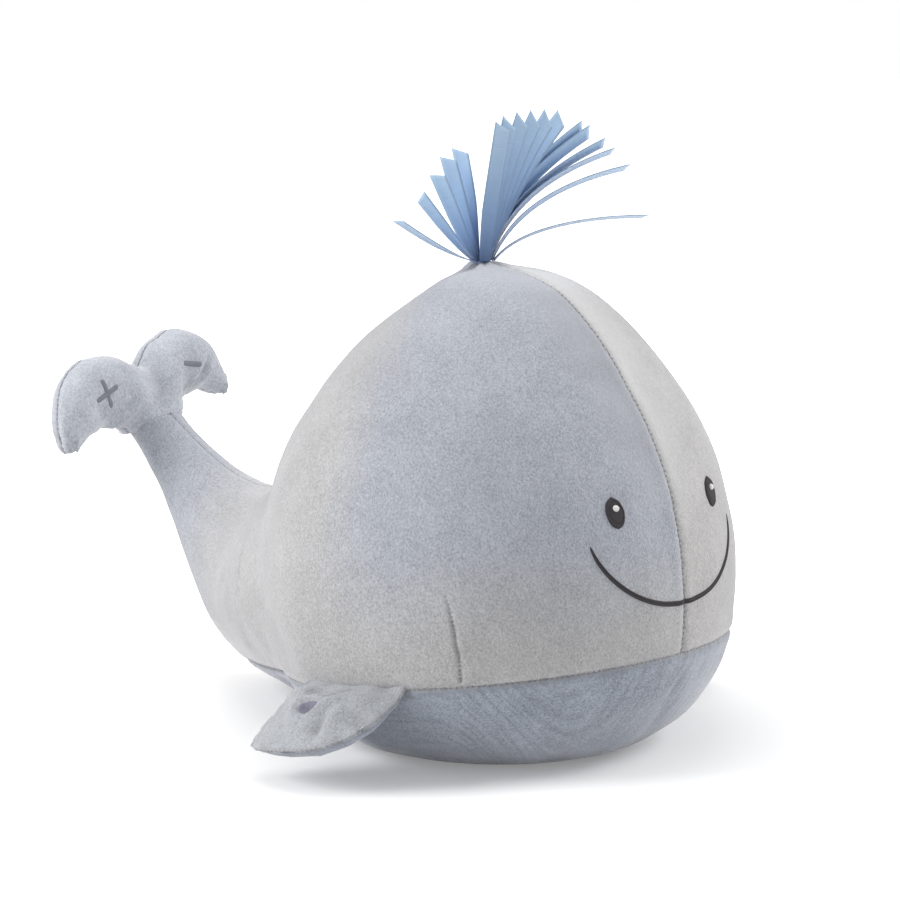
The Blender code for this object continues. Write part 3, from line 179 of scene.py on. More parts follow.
class Shader:
    """A material whose nodes are made one call at a time."""

    def __init__(self, name: str) -> None:
        """Starts an empty node tree with its output."""
        self.material = bpy.data.materials.new(name)
        self.material.use_nodes = True
        self.tree = self.material.node_tree
        self.tree.nodes.clear()
        self.output = self.tree.nodes.new("ShaderNodeOutputMaterial")
        self.places: Sock | None = None

    def put(self, slot: bpy.types.NodeSocket, value: Any) -> None:
        """Links a socket to a shader output, or sets its value.

        Args:
            slot: The input socket.
            value: A Sock, a number, or a colour or vector of three.
        """
        if isinstance(value, Sock):
            self.tree.links.new(value.socket, slot)
        elif isinstance(value, (tuple, list)) and len(slot.default_value) == 4:
            slot.default_value = (*value[:3], 1.0)
        else:
            slot.default_value = value

    def node(self, kind: str, settings: dict[str, Any], inputs: dict[Any, Any], output: Any = 0) -> Sock:
        """Makes any node.

        Args:
            kind: The node's type.
            settings: Its properties, set first; "stops" are a ramp's places and colours.
            inputs: Values or outputs for its sockets, by name or number.
            output: Which of its outputs is wanted, by name or number.

        Returns:
            That output.
        """
        made = self.tree.nodes.new(kind)
        for name, value in settings.items():
            if name == "stops":
                ramp = made.color_ramp
                while len(ramp.elements) < len(value):
                    ramp.elements.new(1.0)
                for element, (place, colour) in zip(ramp.elements, value):
                    element.position = place
                    element.color = (*colour, 1.0)
            else:
                setattr(made, name, value)
        for name, value in inputs.items():
            self.put(made.inputs[name], value)
        return Sock(self, made.outputs[output])

    def place(self) -> Sock:
        """Object coordinates, in metres."""
        if self.places is None:
            self.places = self.node("ShaderNodeTexCoord", {}, {}, "Object")
        return self.places

    def attribute(self, name: str, output: str = "Fac") -> Sock:
        """A value that the piece's mesh carries.

        Args:
            name: The attribute.
            output: "Fac" for a number, "Vector" for a vector.

        Returns:
            The attribute's output.
        """
        return self.node("ShaderNodeAttribute", {"attribute_name": name}, {}, output)

    def axis(self, vector: Sock, name: str) -> Sock:
        """One component, X, Y or Z, of a vector."""
        return self.node("ShaderNodeSeparateXYZ", {}, {0: vector}, name)

    def stretched(self, vector: Sock, scale: RGB, turn: RGB = (0.0, 0.0, 0.0)) -> Sock:
        """A vector turned and then scaled on each axis.

        Args:
            vector: The coordinates.
            scale: Factor for each axis.
            turn: Turn about each axis, radians.

        Returns:
            The new coordinates.
        """
        turned = self.node("ShaderNodeMapping", {}, {"Vector": vector, "Rotation": turn})
        return self.node("ShaderNodeMapping", {}, {"Vector": turned, "Scale": scale})

    def noise(self, vector: Sock, size: float, detail: float = 2.0, rough: float = 0.5) -> Sock:
        """Soft random value, 0 to 1, whose patches are about a size across.

        Args:
            vector: Coordinates in metres.
            size: Size of a patch in metres.
            detail: Octaves of finer noise.
            rough: Strength of the finer octaves.

        Returns:
            The value.
        """
        inputs = {"Vector": vector, "Scale": 1.0 / size, "Detail": detail, "Roughness": rough}
        return self.node("ShaderNodeTexNoise", {}, inputs, "Fac")

    def mix(self, share: Any, low: Any, high: Any, blend: str = "MIX") -> Sock:
        """Mixes two colours.

        Args:
            share: How much of the second colour.
            low: First colour.
            high: Second colour.
            blend: Blend type.

        Returns:
            The colour.
        """
        settings = {"data_type": "RGBA", "blend_type": blend, "clamp_factor": True}
        return self.node("ShaderNodeMix", settings, {0: share, 6: low, 7: high}, 2)

    def shade(self, colour: Any, factor: Any) -> Sock:
        """A colour times a grey factor."""
        vector = self.node("ShaderNodeCombineXYZ", {}, {0: factor, 1: factor, 2: factor})
        return self.node("ShaderNodeVectorMath", {"operation": "MULTIPLY"}, {0: colour, 1: vector})

    def bump(self, height: Any, strength: float, distance: float) -> Sock:
        """Normal from a height.

        Args:
            height: Value from 0 to 1.
            strength: How strongly it shows.
            distance: Height in metres of the value 1.

        Returns:
            The normal.
        """
        return self.node("ShaderNodeBump", {}, {"Height": height, "Strength": strength, "Distance": distance})

    def finish(self, **inputs: Any) -> bpy.types.Material:
        """Closes the tree with a Principled shader.

        Args:
            **inputs: Its sockets, with _ for a space in their names.

        Returns:
            The material.
        """
        named = {name.replace("_", " "): value for name, value in inputs.items()}
        surface = self.node("ShaderNodeBsdfPrincipled", {}, named)
        self.tree.links.new(surface.socket, self.output.inputs["Surface"])
        return self.material


# Finishes


@dataclass(frozen=True)
class Velour:
    """Short pile fabric, its tips lighter than its roots, brushed one way, with painted light and shade beside
    its seams, in its creases and hollows, and a darker, bluer painted shade on the head's front and the tail.
    """

    name: str
    root: RGB
    tip: RGB
    # Painted light and shade beside the seams: the colour of a band along them, its reach, and on the head the
    # heights it lies between.
    seam_painted_light: RGB
    seam_painted_light_reach: float
    nap_scale: RGB
    nap_turn: RGB = (0.0, 0.0, 0.0)
    seam_painted_light_heights: tuple[float, float] = (-0.2, -0.1)
    # Painted shade: darker, bluer pile colours for the head's front and the tail, and where that shade begins
    # and ends.
    cool_shade_root: RGB | None = None
    cool_shade_tip: RGB | None = None
    cool_shade_heights: tuple[float, float] = (0.050, 0.100)
    cool_shade_places: tuple[float, float] = (-0.020, 0.026)
    cool_shade_tail: tuple[float, float] = (0.115, 0.175)
    fringe: RGB | None = None
    streaks: float = 0.0
    grain: float = 0.62 * MM
    stitch_pitch: float = 2.1 * MM
    stitch_width: float = 0.45 * MM
    stitch_shade: float = 0.14
    crease_shade: float = 0.11

    def _cool_painted_shade(self, s: Shader, fields: Sock) -> Sock:
        """Where painted shade makes the pile darker and bluer: the upper middle of the head's front and the
        tail.
        """
        place = s.place()
        height = s.axis(place, "Z") + (fields - 0.5) * (50 * MM)
        along = s.axis(place, "Y") + (fields - 0.5) * (40 * MM) - height.share(0.145, 0.195) * (28 * MM)
        head = height.share(*self.cool_shade_heights) * (1.0 - along.share(*self.cool_shade_places))
        return head + along.share(*self.cool_shade_tail)

    def dress(self) -> bpy.types.Material:
        """The pile's material."""
        s = Shader(self.name)
        place = s.place()
        nap = s.stretched(place, self.nap_scale, self.nap_turn)
        grain = s.noise(nap, self.grain, 2.0, 0.6)
        tufts = s.noise(nap, 1.9 * MM, 2.0, 0.55)
        patches = s.noise(place, 16 * MM, 2.0, 0.5)
        fields = s.noise(place, 55 * MM, 1.0, 0.5)
        lie = grain * 0.60 + tufts * 0.15 + patches * 0.13 + fields * 0.12
        lift = lie.share(0.30, 0.70)
        pile = s.mix(lift, self.root, self.tip)
        if self.cool_shade_root:
            # Painted shade: darker, bluer pile on the head's front and on the tail.
            pile = s.mix(self._cool_painted_shade(s, fields), pile, s.mix(lift, self.cool_shade_root, self.cool_shade_tip))
        gap = s.attribute(SEAM_GAP)
        run = s.attribute(SEAM_RUN)
        # Painted light and shade in a band beside the seams; on the head it is kept between two heights and to
        # the front.
        lit = (1.0 - gap.share(0.0, self.seam_painted_light_reach)) * s.axis(place, "Z").share(*self.seam_painted_light_heights)
        if self.seam_painted_light_heights[0] > 0:
            lit = lit * (1.0 - s.axis(place, "Y").share(0.03, 0.08))
        pile = s.mix(lit * 0.8, pile, s.shade(self.seam_painted_light, 0.86 + lie * 0.28))
        if self.streaks:
            flow = s.attribute("flow", "Vector")
            streak = s.noise(s.stretched(flow, (1.0, 0.10, 1.0)), 2.4 * MM, 1.0, 0.4)
            pile = s.shade(pile, 1.0 - self.streaks * (streak.share(0.35, 0.72) - 0.5))
            lie = lie + streak * 0.35
        dot = (run * (math.tau / self.stitch_pitch)).sine().share(0.1, 0.9)
        # Painted shade in the crease of each seam, and darker stitch dots along it.
        crease = 1.0 - gap.share(0.1 * MM, 0.9 * MM)
        stitch = dot * (1.0 - gap.share(self.stitch_width * 0.5, self.stitch_width * 1.6))
        pile = s.shade(pile, 1.0 - crease * self.crease_shade - stitch * self.stitch_shade)
        # Painted shade in hollows and along the stitched crease, from the mesh's attribute.
        pile = s.shade(pile, 1.0 - s.attribute(PAINTED_SHADE) * 0.30)
        if self.fringe:
            over = 1.0 - (gap + (grain - 0.5) * (4.2 * MM)).share(0.5 * MM, 1.1 * MM)
            pile = s.mix(over * 0.85, pile, self.fringe)
        height = lie * 0.9 - stitch * 0.8
        return s.finish(
            Base_Color=pile,
            Roughness=0.95,
            Specular_IOR_Level=0.12,
            Sheen_Weight=0.85,
            Sheen_Roughness=0.45,
            Sheen_Tint=(0.97, 0.97, 1.0),
            Normal=s.bump(height, 0.75, 0.6 * MM),
        )


@dataclass(frozen=True)
class Satin:
    """Woven satin ribbon: threads along its length, a firmer edge, a broad gloss, painted shade at its root
    and painted light towards its tips.
    """

    name: str
    root: RGB
    middle: RGB
    tip: RGB

    def dress(self) -> bpy.types.Material:
        """The ribbon's material; its thread attribute holds run, across and share along."""
        s = Shader(self.name)
        thread = s.attribute(THREAD, "Vector")
        along, across, share = (s.axis(thread, axis) for axis in "XYZ")
        # Painted shade and light: darker at the gathered root, where the strands shade each other, lighter
        # towards the tips.
        stops = ((0.0, self.root), (0.42, self.middle), (1.0, self.tip))
        body = s.node("ShaderNodeValToRGB", {"stops": stops}, {0: share})
        edge = abs(across).share(2.55 * MM, 3.0 * MM)
        rib = (across * (math.tau / (0.35 * MM))).sine() * 0.5 + 0.5
        weft = s.noise(s.stretched(thread, (0.12, 1.0, 0.0)), 0.6 * MM, 2.0, 0.6)
        cloud = s.noise(s.stretched(thread, (1.0, 0.6, 1.0)), 9 * MM, 2.0, 0.5)
        tone = 1.0 - edge * 0.20 + (weft - 0.5) * 0.14 + (cloud - 0.5) * 0.22 + (rib - 0.5) * 0.06
        height = rib * 0.4 + weft * 0.6 + edge * 0.8
        return s.finish(
            Base_Color=s.shade(body, tone),
            Roughness=0.42 + edge * 0.15 + (weft - 0.5) * 0.12,
            Specular_IOR_Level=0.45,
            Sheen_Weight=0.15,
            Sheen_Roughness=0.4,
            Normal=s.bump(height, 0.35, 0.08 * MM),
        )


@dataclass(frozen=True)
class StitchThread:
    """Embroidery thread laid side by side."""

    name: str
    dark: RGB
    light: RGB
    pitch: float = 0.42 * MM

    def dress(self) -> bpy.types.Material:
        """The thread's material; its thread attribute holds the place along, across and the fuzz."""
        s = Shader(self.name)
        thread = s.attribute(THREAD, "Vector")
        along = s.axis(thread, "X")
        across = s.axis(thread, "Y")
        wander = (s.noise(thread, 2.4 * MM, 2.0, 0.5) - 0.5) * (0.6 * MM)
        rows = ((along + wander) * (math.tau / self.pitch)).sine() * 0.5 + 0.5
        fibre = s.noise(s.stretched(thread, (1.0, 0.15, 1.0)), 0.16 * MM, 2.0, 0.6)
        worn = s.noise(s.place(), 2.2 * MM, 2.0, 0.5)
        tone = rows.share(0.05, 0.85) * 0.55 + fibre * 0.30 + worn * 0.25
        edge = abs(across) * 0.0
        return s.finish(
            Base_Color=s.mix(tone + edge, self.dark, self.light),
            Roughness=0.62 - rows * 0.14,
            Specular_IOR_Level=0.35,
            Sheen_Weight=0.12,
            Sheen_Roughness=0.5,
            Normal=s.bump(rows * 0.8 + fibre * 0.3, 0.6, 0.12 * MM),
        )


@dataclass(frozen=True)
class Moulded:
    """Moulded plastic with a fine spark-eroded skin."""

    name: str
    colour: RGB
    roughness: float = 0.45

    def dress(self) -> bpy.types.Material:
        """The plastic's material."""
        s = Shader(self.name)
        skin = s.noise(s.place(), 0.35 * MM, 2.0, 0.5)
        flow = s.noise(s.place(), 11 * MM, 2.0, 0.5)
        return s.finish(
            Base_Color=s.shade(self.colour, 0.94 + flow * 0.12),
            Roughness=self.roughness + (skin - 0.5) * 0.12,
            Normal=s.bump(skin, 0.12, 0.03 * MM),
        )


@dataclass(frozen=True)
class BrushedSteel:
    """Plated spring steel, drawn along X."""

    name: str
    colour: RGB

    def dress(self) -> bpy.types.Material:
        """The steel's material."""
        s = Shader(self.name)
        drawn = s.noise(s.stretched(s.place(), (0.08, 1.0, 1.0)), 0.2 * MM, 2.0, 0.6)
        stain = s.noise(s.place(), 5 * MM, 2.0, 0.5)
        return s.finish(
            Base_Color=s.shade(self.colour, 0.86 + stain * 0.24),
            Metallic=1.0,
            Roughness=0.24 + drawn * 0.18,
            Normal=s.bump(drawn, 0.1, 0.02 * MM),
        )


@dataclass(frozen=True)
class CircuitBoard:
    """Lacquered board with a faint copper pattern under the lacquer."""

    name: str
    lacquer: RGB
    track: RGB

    def dress(self) -> bpy.types.Material:
        """The board's material."""
        s = Shader(self.name)
        place = s.place()
        lines = [(s.axis(place, axis) * (math.tau / (2.4 * MM))).sine().share(0.55, 0.8) for axis in "XY"]
        patch = s.noise(place, 7 * MM, 0.0, 0.5).share(0.46, 0.54)
        tracks = lines[0] * patch + lines[1] * (1.0 - patch)
        return s.finish(
            Base_Color=s.mix(tracks * 0.7, self.lacquer, self.track),
            Roughness=0.32 + tracks * 0.1,
            Normal=s.bump(tracks, 0.2, 0.05 * MM),
        )


@dataclass(frozen=True)
class PlainWeave:
    """Thin woven lining cloth."""

    name: str
    colour: RGB
    pitch: float = 0.6 * MM

    def dress(self) -> bpy.types.Material:
        """The cloth's material."""
        s = Shader(self.name)
        place = s.place()
        turn = math.tau / self.pitch
        warp = (s.axis(place, "X") * turn).sine() * (s.axis(place, "Y") * turn).sine()
        rise = (s.axis(place, "Z") * turn).sine()
        weave = warp * 0.35 + rise * 0.15 + 0.5
        soil = s.noise(place, 14 * MM, 2.0, 0.5)
        return s.finish(
            Base_Color=s.shade(self.colour, 0.80 + weave * 0.16 + soil * 0.12),
            Roughness=0.9,
            Normal=s.bump(weave, 0.4, 0.1 * MM),
        )


@dataclass(frozen=True)
class Fibrefill:
    """Loose polyester stuffing."""

    name: str
    colour: RGB

    def dress(self) -> bpy.types.Material:
        """The stuffing's material."""
        s = Shader(self.name)
        curl = s.noise(s.stretched(s.place(), (1.0, 1.0, 0.5)), 1.2 * MM, 4.0, 0.7)
        clump = s.noise(s.place(), 12 * MM, 3.0, 0.6)
        return s.finish(
            Base_Color=s.shade(self.colour, 0.78 + curl * 0.2 + clump * 0.16),
            Roughness=1.0,
            Normal=s.bump(curl * 0.6 + clump, 0.8, 1.0 * MM),
        )


class Finish(Enum):
    """Every finish of the toy."""

    # Near panel: a darker band of painted shade by the middle seam on the crown, and darker, bluer painted
    # shade on the head's front and tail.
    RIGHT_VELOUR = Velour(
        "right_velour",
        root=srgb(156, 155, 156),
        tip=srgb(200, 199, 199),
        cool_shade_root=srgb(144, 148, 157),
        cool_shade_tip=srgb(190, 194, 203),
        seam_painted_light=srgb(166, 169, 176),
        seam_painted_light_reach=30 * MM,
        seam_painted_light_heights=(0.09, 0.14),
        nap_scale=(1.0, 0.8, 0.7),
        nap_turn=(0.35, 0.0, 0.0),
    )
    # Far panel: a pile a touch lighter, a wide band of painted light beside the middle seam on the head's
    # front, and painted shade on the tail only.
    LEFT_VELOUR = Velour(
        "left_velour",
        root=srgb(156, 154, 154),
        tip=srgb(202, 200, 199),
        seam_painted_light=srgb(211, 211, 211),
        seam_painted_light_reach=40 * MM,
        seam_painted_light_heights=(0.075, 0.150),
        nap_scale=(1.0, 0.8, 0.7),
        nap_turn=(0.35, 0.0, 0.0),
        cool_shade_root=srgb(144, 148, 157),
        cool_shade_tip=srgb(190, 194, 203),
        cool_shade_heights=(0.9, 1.0),
    )
    # A thin band of painted shade along the belly seam.
    BELLY_VELOUR = Velour(
        "belly_velour",
        root=srgb(122, 129, 141),
        tip=srgb(176, 182, 193),
        seam_painted_light=srgb(140, 146, 156),
        seam_painted_light_reach=4 * MM,
        nap_scale=(0.8, 0.8, 1.0),
        streaks=0.20,
        fringe=srgb(166, 166, 168),
        stitch_shade=0.0,
    )
    # Painted light: a lighter copy of the pale velour, for the light that falls on the fluke, with a lighter
    # band along its seam.
    FLUKE_VELOUR = Velour(
        "fluke_velour",
        root=srgb(159, 163, 172),
        tip=srgb(209, 213, 221),
        seam_painted_light=srgb(194, 197, 204),
        seam_painted_light_reach=2.5 * MM,
        nap_scale=(1.0, 1.0, 0.45),
        nap_turn=(0.0, 0.4, 0.0),
        stitch_shade=0.0,
        crease_shade=0.10,
    )
    # Painted shade: a darker copy of the pale velour, for the shade on the flipper, with a band of painted
    # light along its seam.
    FLIPPER_VELOUR = Velour(
        "flipper_velour",
        root=srgb(144, 147, 152),
        tip=srgb(190, 193, 198),
        seam_painted_light=srgb(184, 186, 190),
        seam_painted_light_reach=3 * MM,
        nap_scale=(0.45, 1.0, 1.0),
        stitch_shade=0.0,
        crease_shade=0.05,
    )
    # A thin band of painted shade along the flipper's seam.
    FLIPPER_BELLY_VELOUR = Velour(
        "flipper_belly_velour",
        root=srgb(124, 131, 145),
        tip=srgb(174, 181, 194),
        seam_painted_light=srgb(146, 152, 164),
        seam_painted_light_reach=3 * MM,
        nap_scale=(0.45, 1.0, 1.0),
        fringe=srgb(184, 185, 188),
        stitch_shade=0.0,
        crease_shade=0.0,
    )
    # One satin colour with painted shade at the root and painted light at the tips.
    RIBBON_SATIN = Satin(
        "ribbon_satin", root=srgb(96, 120, 162), middle=srgb(134, 165, 205), tip=srgb(178, 205, 232)
    )
    DARK_THREAD = StitchThread("dark_thread", dark=srgb(26, 25, 27), light=srgb(78, 76, 80))
    GREY_THREAD = StitchThread("grey_thread", dark=srgb(84, 88, 99), light=srgb(132, 137, 149))
    NOTE_THREAD = StitchThread("note_thread", dark=srgb(96, 96, 112), light=srgb(140, 140, 156))
    WHITE_THREAD = StitchThread("white_thread", dark=srgb(196, 196, 196), light=srgb(250, 250, 250))
    STUFFING = Fibrefill("fibrefill", (0.85, 0.85, 0.83))
    WHITE_PLASTIC = Moulded("white_moulding", (0.75, 0.75, 0.72))
    BLACK_PLASTIC = Moulded("black_moulding", (0.03, 0.03, 0.03), 0.5)
    CELL_WRAP = Moulded("cell_wrap", (0.12, 0.12, 0.13), 0.35)
    STEEL = BrushedSteel("plated_steel", (0.62, 0.62, 0.62))
    BOARD = CircuitBoard("circuit_board", (0.02, 0.16, 0.06), (0.10, 0.32, 0.12))
    POUCH = PlainWeave("pouch_cloth", (0.60, 0.62, 0.66))

    def material(self) -> bpy.types.Material:
        """The finish's material, made once."""
        made = bpy.data.materials.get(self.value.name)
        return made or self.value.dress()


SLOTS = {
    Finish.RIGHT_VELOUR: "pale_velour",
    Finish.LEFT_VELOUR: "pale_velour",
    Finish.BELLY_VELOUR: "blue_velour",
    Finish.FLUKE_VELOUR: "pale_velour",
    Finish.FLIPPER_VELOUR: "pale_velour",
    Finish.FLIPPER_BELLY_VELOUR: "blue_velour",
    Finish.RIBBON_SATIN: "blue_satin",
    Finish.DARK_THREAD: "dark_thread",
    Finish.GREY_THREAD: "grey_thread",
    Finish.NOTE_THREAD: "grey_thread",
    Finish.WHITE_THREAD: "dark_thread",
}


# Shapes


def smooth_line(points: Sequence[Sequence[float]], steps: int) -> np.ndarray:
    """A Catmull-Rom line through points of any dimension.

    Args:
        points: The points.
        steps: Samples to each stretch between two points.

    Returns:
        The samples, one row each.
    """
    table = np.array(points, float)
    padded = np.vstack([table[:1], table, table[-1:]])
    t = (np.arange(steps) / steps)[:, None]
    rows = []
    for before, start, end, after in zip(padded, padded[1:], padded[2:], padded[3:]):
        curve = 2 * start + (end - before) * t + (2 * before - 5 * start + 4 * end - after) * t**2
        rows.append(0.5 * (curve + (3 * start - before - 3 * end + after) * t**3))
    return np.vstack([*rows, table[-1:]])


def at_share(table: np.ndarray, share: float) -> np.ndarray:
    """A row of a table at a share of its length, between rows too."""
    place = min(max(share, 0.0), 1.0) * (len(table) - 1)
    low = min(int(place), len(table) - 2)
    return table[low] * (1 - place + low) + table[low + 1] * (place - low)


def add_piece(
    name: str,
    bm: bmesh.types.BMesh,
    finish: Finish,
    body: str = "",
    replaces: Sequence[str] = (),
    turn: bool = True,
) -> bpy.types.Object:
    """Makes a mesh object of a form and gives it its finish.

    Args:
        name: The piece's name.
        bm: The form; it is freed.
        finish: The finish.
        body: The body it rides on; "" where fabric bends between two.
        replaces: CAD nodes that it stands for.
        turn: Whether its faces are turned to point outwards.

    Returns:
        The object.
    """
    if turn:
        bmesh.ops.recalc_face_normals(bm, faces=bm.faces)
    mesh = bpy.data.meshes.new(name)
    bm.to_mesh(mesh)
    bm.free()
    mesh.shade_smooth()
    mesh.materials.append(finish.material())
    made = bpy.data.objects.new(name, mesh)
    bpy.context.scene.collection.objects.link(made)
    if body:
        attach(made, body)
    if replaces:
        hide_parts(*replaces)
    finish in SLOTS
    LOG.info("piece %s: %d faces, %s", name, len(mesh.polygons), finish.name.lower())
    return made


def thicken(piece: bpy.types.Object, thickness: float, offset: float = -1.0) -> None:
    """Gives an open skin its fabric's thickness.

    Args:
        piece: The skin.
        thickness: In metres.
        offset: -1 inward, 1 outward, 0 both ways.
    """
    wall = piece.modifiers.new("fabric", "SOLIDIFY")
    wall.thickness = thickness
    wall.offset = offset
    wall.use_even_offset = False


def evaluated(piece: bpy.types.Object) -> bmesh.types.BMesh:
    """The form of an object with its modifiers applied; the object is removed."""
    bpy.context.view_layer.update()
    mesh = bpy.data.meshes.new_from_object(piece.evaluated_get(bpy.context.evaluated_depsgraph_get()))
    bm = bmesh.new()
    bm.from_mesh(mesh)
    bpy.data.objects.remove(piece)
    bpy.data.meshes.remove(mesh)
    return bm


def scratch_object(name: str, bm: bmesh.types.BMesh) -> bpy.types.Object:
    """A bare object of a form, to hang modifiers on."""
    mesh = bpy.data.meshes.new(name)
    bm.to_mesh(mesh)
    made = bpy.data.objects.new(name, mesh)
    bpy.context.scene.collection.objects.link(made)
    return made


def score(
    bm: bmesh.types.BMesh, point: Vector, normal: Vector, offsets: Sequence[float], reach: float
) -> None:
    """Adds edge loops side by side along a plane.

    Args:
        bm: The form.
        point: A point of the plane.
        normal: Its normal.
        offsets: Distances from the plane at which loops are added.
        reach: Faces further off than this are left alone.
    """
    for offset in offsets:
        faces = [face for face in bm.faces if abs((face.calc_center_median() - point).dot(normal)) < reach]
        verts = {vert for face in faces for vert in face.verts}
        edges = {edge for face in faces for edge in face.edges}
        bmesh.ops.bisect_plane(
            bm,
            geom=list(verts) + list(edges) + faces,
            dist=0.05 * MM,
            plane_co=point + normal * offset,
            plane_no=normal,
        )


def mark_seams(
    bm: bmesh.types.BMesh,
    lines: Sequence[Sequence[Vector]],
    soft: Callable[[Vector], float] = lambda place: 0.0,
) -> None:
    """Stores for each vertex how far it is from the nearest seam, and where along it.

    Args:
        bm: The form.
        lines: The seams, each as points in order.
        soft: Distance added where a seam is pulled less tight.
    """
    points: list[tuple[Vector, float]] = []
    for line in lines:
        run = 0.0
        for start, end in zip(line, line[1:]):
            length = (end - start).length
            steps = max(int(length / (0.5 * MM)), 1)
            for step in range(steps):
                points.append((start.lerp(end, step / steps), run + length * step / steps))
            run += length
    tree = KDTree(len(points))
    for index, (point, _) in enumerate(points):
        tree.insert(point, index)
    tree.balance()
    gap = bm.verts.layers.float.get(SEAM_GAP) or bm.verts.layers.float.new(SEAM_GAP)
    run_layer = bm.verts.layers.float.get(SEAM_RUN) or bm.verts.layers.float.new(SEAM_RUN)
    for vert in bm.verts:
        _, index, distance = tree.find(vert.co)
        vert[gap] = distance + soft(points[index][0])
        vert[run_layer] = points[index][1]


def displace(bm: bmesh.types.BMesh, height: Callable[[bmesh.types.BMVert], float]) -> None:
    """Moves each vertex along its normal by a height in metres."""
    bm.normal_update()
    moves = [vert.normal * height(vert) for vert in bm.verts]
    for vert, move in zip(bm.verts, moves):
        vert.co += move


def outline_of(node: bpy.types.Object) -> BVHTree:
    """The surface of a CAD piece where it stands."""
    bm = bmesh.new()
    bm.from_mesh(node.data)
    bm.transform(node.matrix_world)
    tree = BVHTree.FromBMesh(bm)
    bm.free()
    return tree


def keep_over(
    bm: bmesh.types.BMesh, fillings: Sequence[BVHTree], edge: float = 0.0, gap: float = 0.9 * MM
) -> None:
    """Lifts fabric that was pressed into its filling back over it.

    Args:
        bm: The fabric.
        fillings: Surfaces of what is inside.
        edge: Width along the seams that is left as it is.
        gap: Height kept over them.
    """
    seam = bm.verts.layers.float[SEAM_GAP]
    for vert in (vert for vert in bm.verts if vert[seam] >= edge):
        for filling in fillings:
            hit, normal, _, _ = filling.find_nearest(vert.co, 6 * MM)
            if hit is not None:
                vert.co += normal * max(gap - (vert.co - hit).dot(normal), 0.0)
    bm.normal_update()


def bell(distance: float, width: float) -> float:
    """A bell of height 1 and a given half width."""
    return math.exp(-((distance / width) ** 2))


@dataclass(frozen=True)
class Dimple:
    """A round hollow or swelling of a stuffed limb, in millimetres of the limb's own frame."""

    x: float
    z: float
    height: float
    width: float
    stretch: float = 1.0

    def at(self, x: float, z: float) -> float:
        """Height at a place."""
        return self.height * bell(math.hypot((x - self.x) / self.stretch, z - self.z), self.width)


@dataclass(frozen=True)
class Fold:
    """A straight fold of a stuffed limb with a swelling on its left, in the same measure."""

    x: float
    z: float
    run: tuple[float, float]
    height: float
    width: float
    length: float
    swell: float = 0.0
    swell_gap: float = 0.0
    swell_width: float = 1.0
    swell_length: float = 1.0

    def at(self, x: float, z: float) -> float:
        """Height at a place."""
        x, z = x - self.x, z - self.z
        along = x * self.run[0] + z * self.run[1]
        across = z * self.run[0] - x * self.run[1]
        fold = self.height * bell(across, self.width) * bell(along, self.length)
        beside = bell(across - self.swell_gap, self.swell_width) * bell(along, self.swell_length)
        return fold + self.swell * beside


@dataclass(frozen=True)
class SeamTuck:
    """How fabric dips into a seam and bulges beside it."""

    depth: float = 0.6 * MM
    width: float = 0.9 * MM
    bulge: float = 0.35 * MM
    bulge_place: float = 3.2 * MM
    bulge_width: float = 2.4 * MM
    pucker: float = 0.12 * MM
    pucker_pitch: float = 4.6 * MM
    pucker_reach: float = 3.5 * MM

    def height(self, gap: float, run: float) -> float:
        """Height of the fabric at a distance from the seam and a place along it."""
        wander = noise.noise(Vector((run / (7 * MM), 3.1, 0.0)))
        wave = math.sin(math.tau * run / self.pucker_pitch + 2.0 * wander)
        rise = self.bulge * bell(gap - self.bulge_place, self.bulge_width)
        return rise - self.depth * bell(gap, self.width) + self.pucker * wave * bell(gap, self.pucker_reach)


@dataclass(frozen=True)
class Stuffer:
    """Plumps a sewn form by cloth simulation, with its seams held."""

    pressure: float
    ease: float
    cap: float
    frames: int = 20
    evening: int = 4

    def plump(self, bm: bmesh.types.BMesh, held: Callable[[bmesh.types.BMVert], float]) -> None:
        """Runs the simulation and moves the form's vertices to its result.

        Args:
            bm: The form.
            held: How firmly a vertex is held, 0 to 1.
        """
        piece = scratch_object("stuffing_form", bm)
        group = piece.vertex_groups.new(name="held")
        for vert in bm.verts:
            grip = held(vert)
            if grip > 0:
                group.add([vert.index], grip, "REPLACE")
        cloth = piece.modifiers.new("stuffing", "CLOTH")
        cloth.settings.quality = 5
        cloth.settings.use_pressure = True
        cloth.settings.uniform_pressure_force = self.pressure
        cloth.settings.effector_weights.gravity = 0.0
        cloth.settings.vertex_group_mass = "held"
        cloth.settings.shrink_min = -self.ease
        cloth.point_cache.frame_start = 1
        cloth.point_cache.frame_end = self.frames
        scene = bpy.context.scene
        for frame in range(1, self.frames + 1):
            scene.frame_set(frame)
        result = piece.evaluated_get(bpy.context.evaluated_depsgraph_get()).to_mesh()
        moves = np.array([point.co - vert.co for vert, point in zip(bm.verts, result.vertices)])
        ends = np.array([[vert.index for vert in edge.verts] for edge in bm.edges])
        count = np.bincount(ends.ravel(), minlength=len(moves))[:, None]
        for _ in range(self.evening):
            near = np.zeros_like(moves)
            np.add.at(near, ends[:, 0], moves[ends[:, 1]])
            np.add.at(near, ends[:, 1], moves[ends[:, 0]])
            moves = moves / 2 + near / count / 2
        for vert, move in zip(bm.verts, map(Vector, moves)):
            if move.length > 0:
                vert.co += move * (self.cap * math.tanh(move.length / self.cap) / move.length)
        bpy.data.objects.remove(piece)
        scene.frame_set(1)


# Body


@dataclass(frozen=True)
class PanelLine:
    """A crease, or a sewn tuck, on the surface, through points, faded at its ends; a stitched one also gets
    painted shade along it.
    """

    points: tuple[RGB, ...]
    depth: float
    width: float
    stitched: bool = False


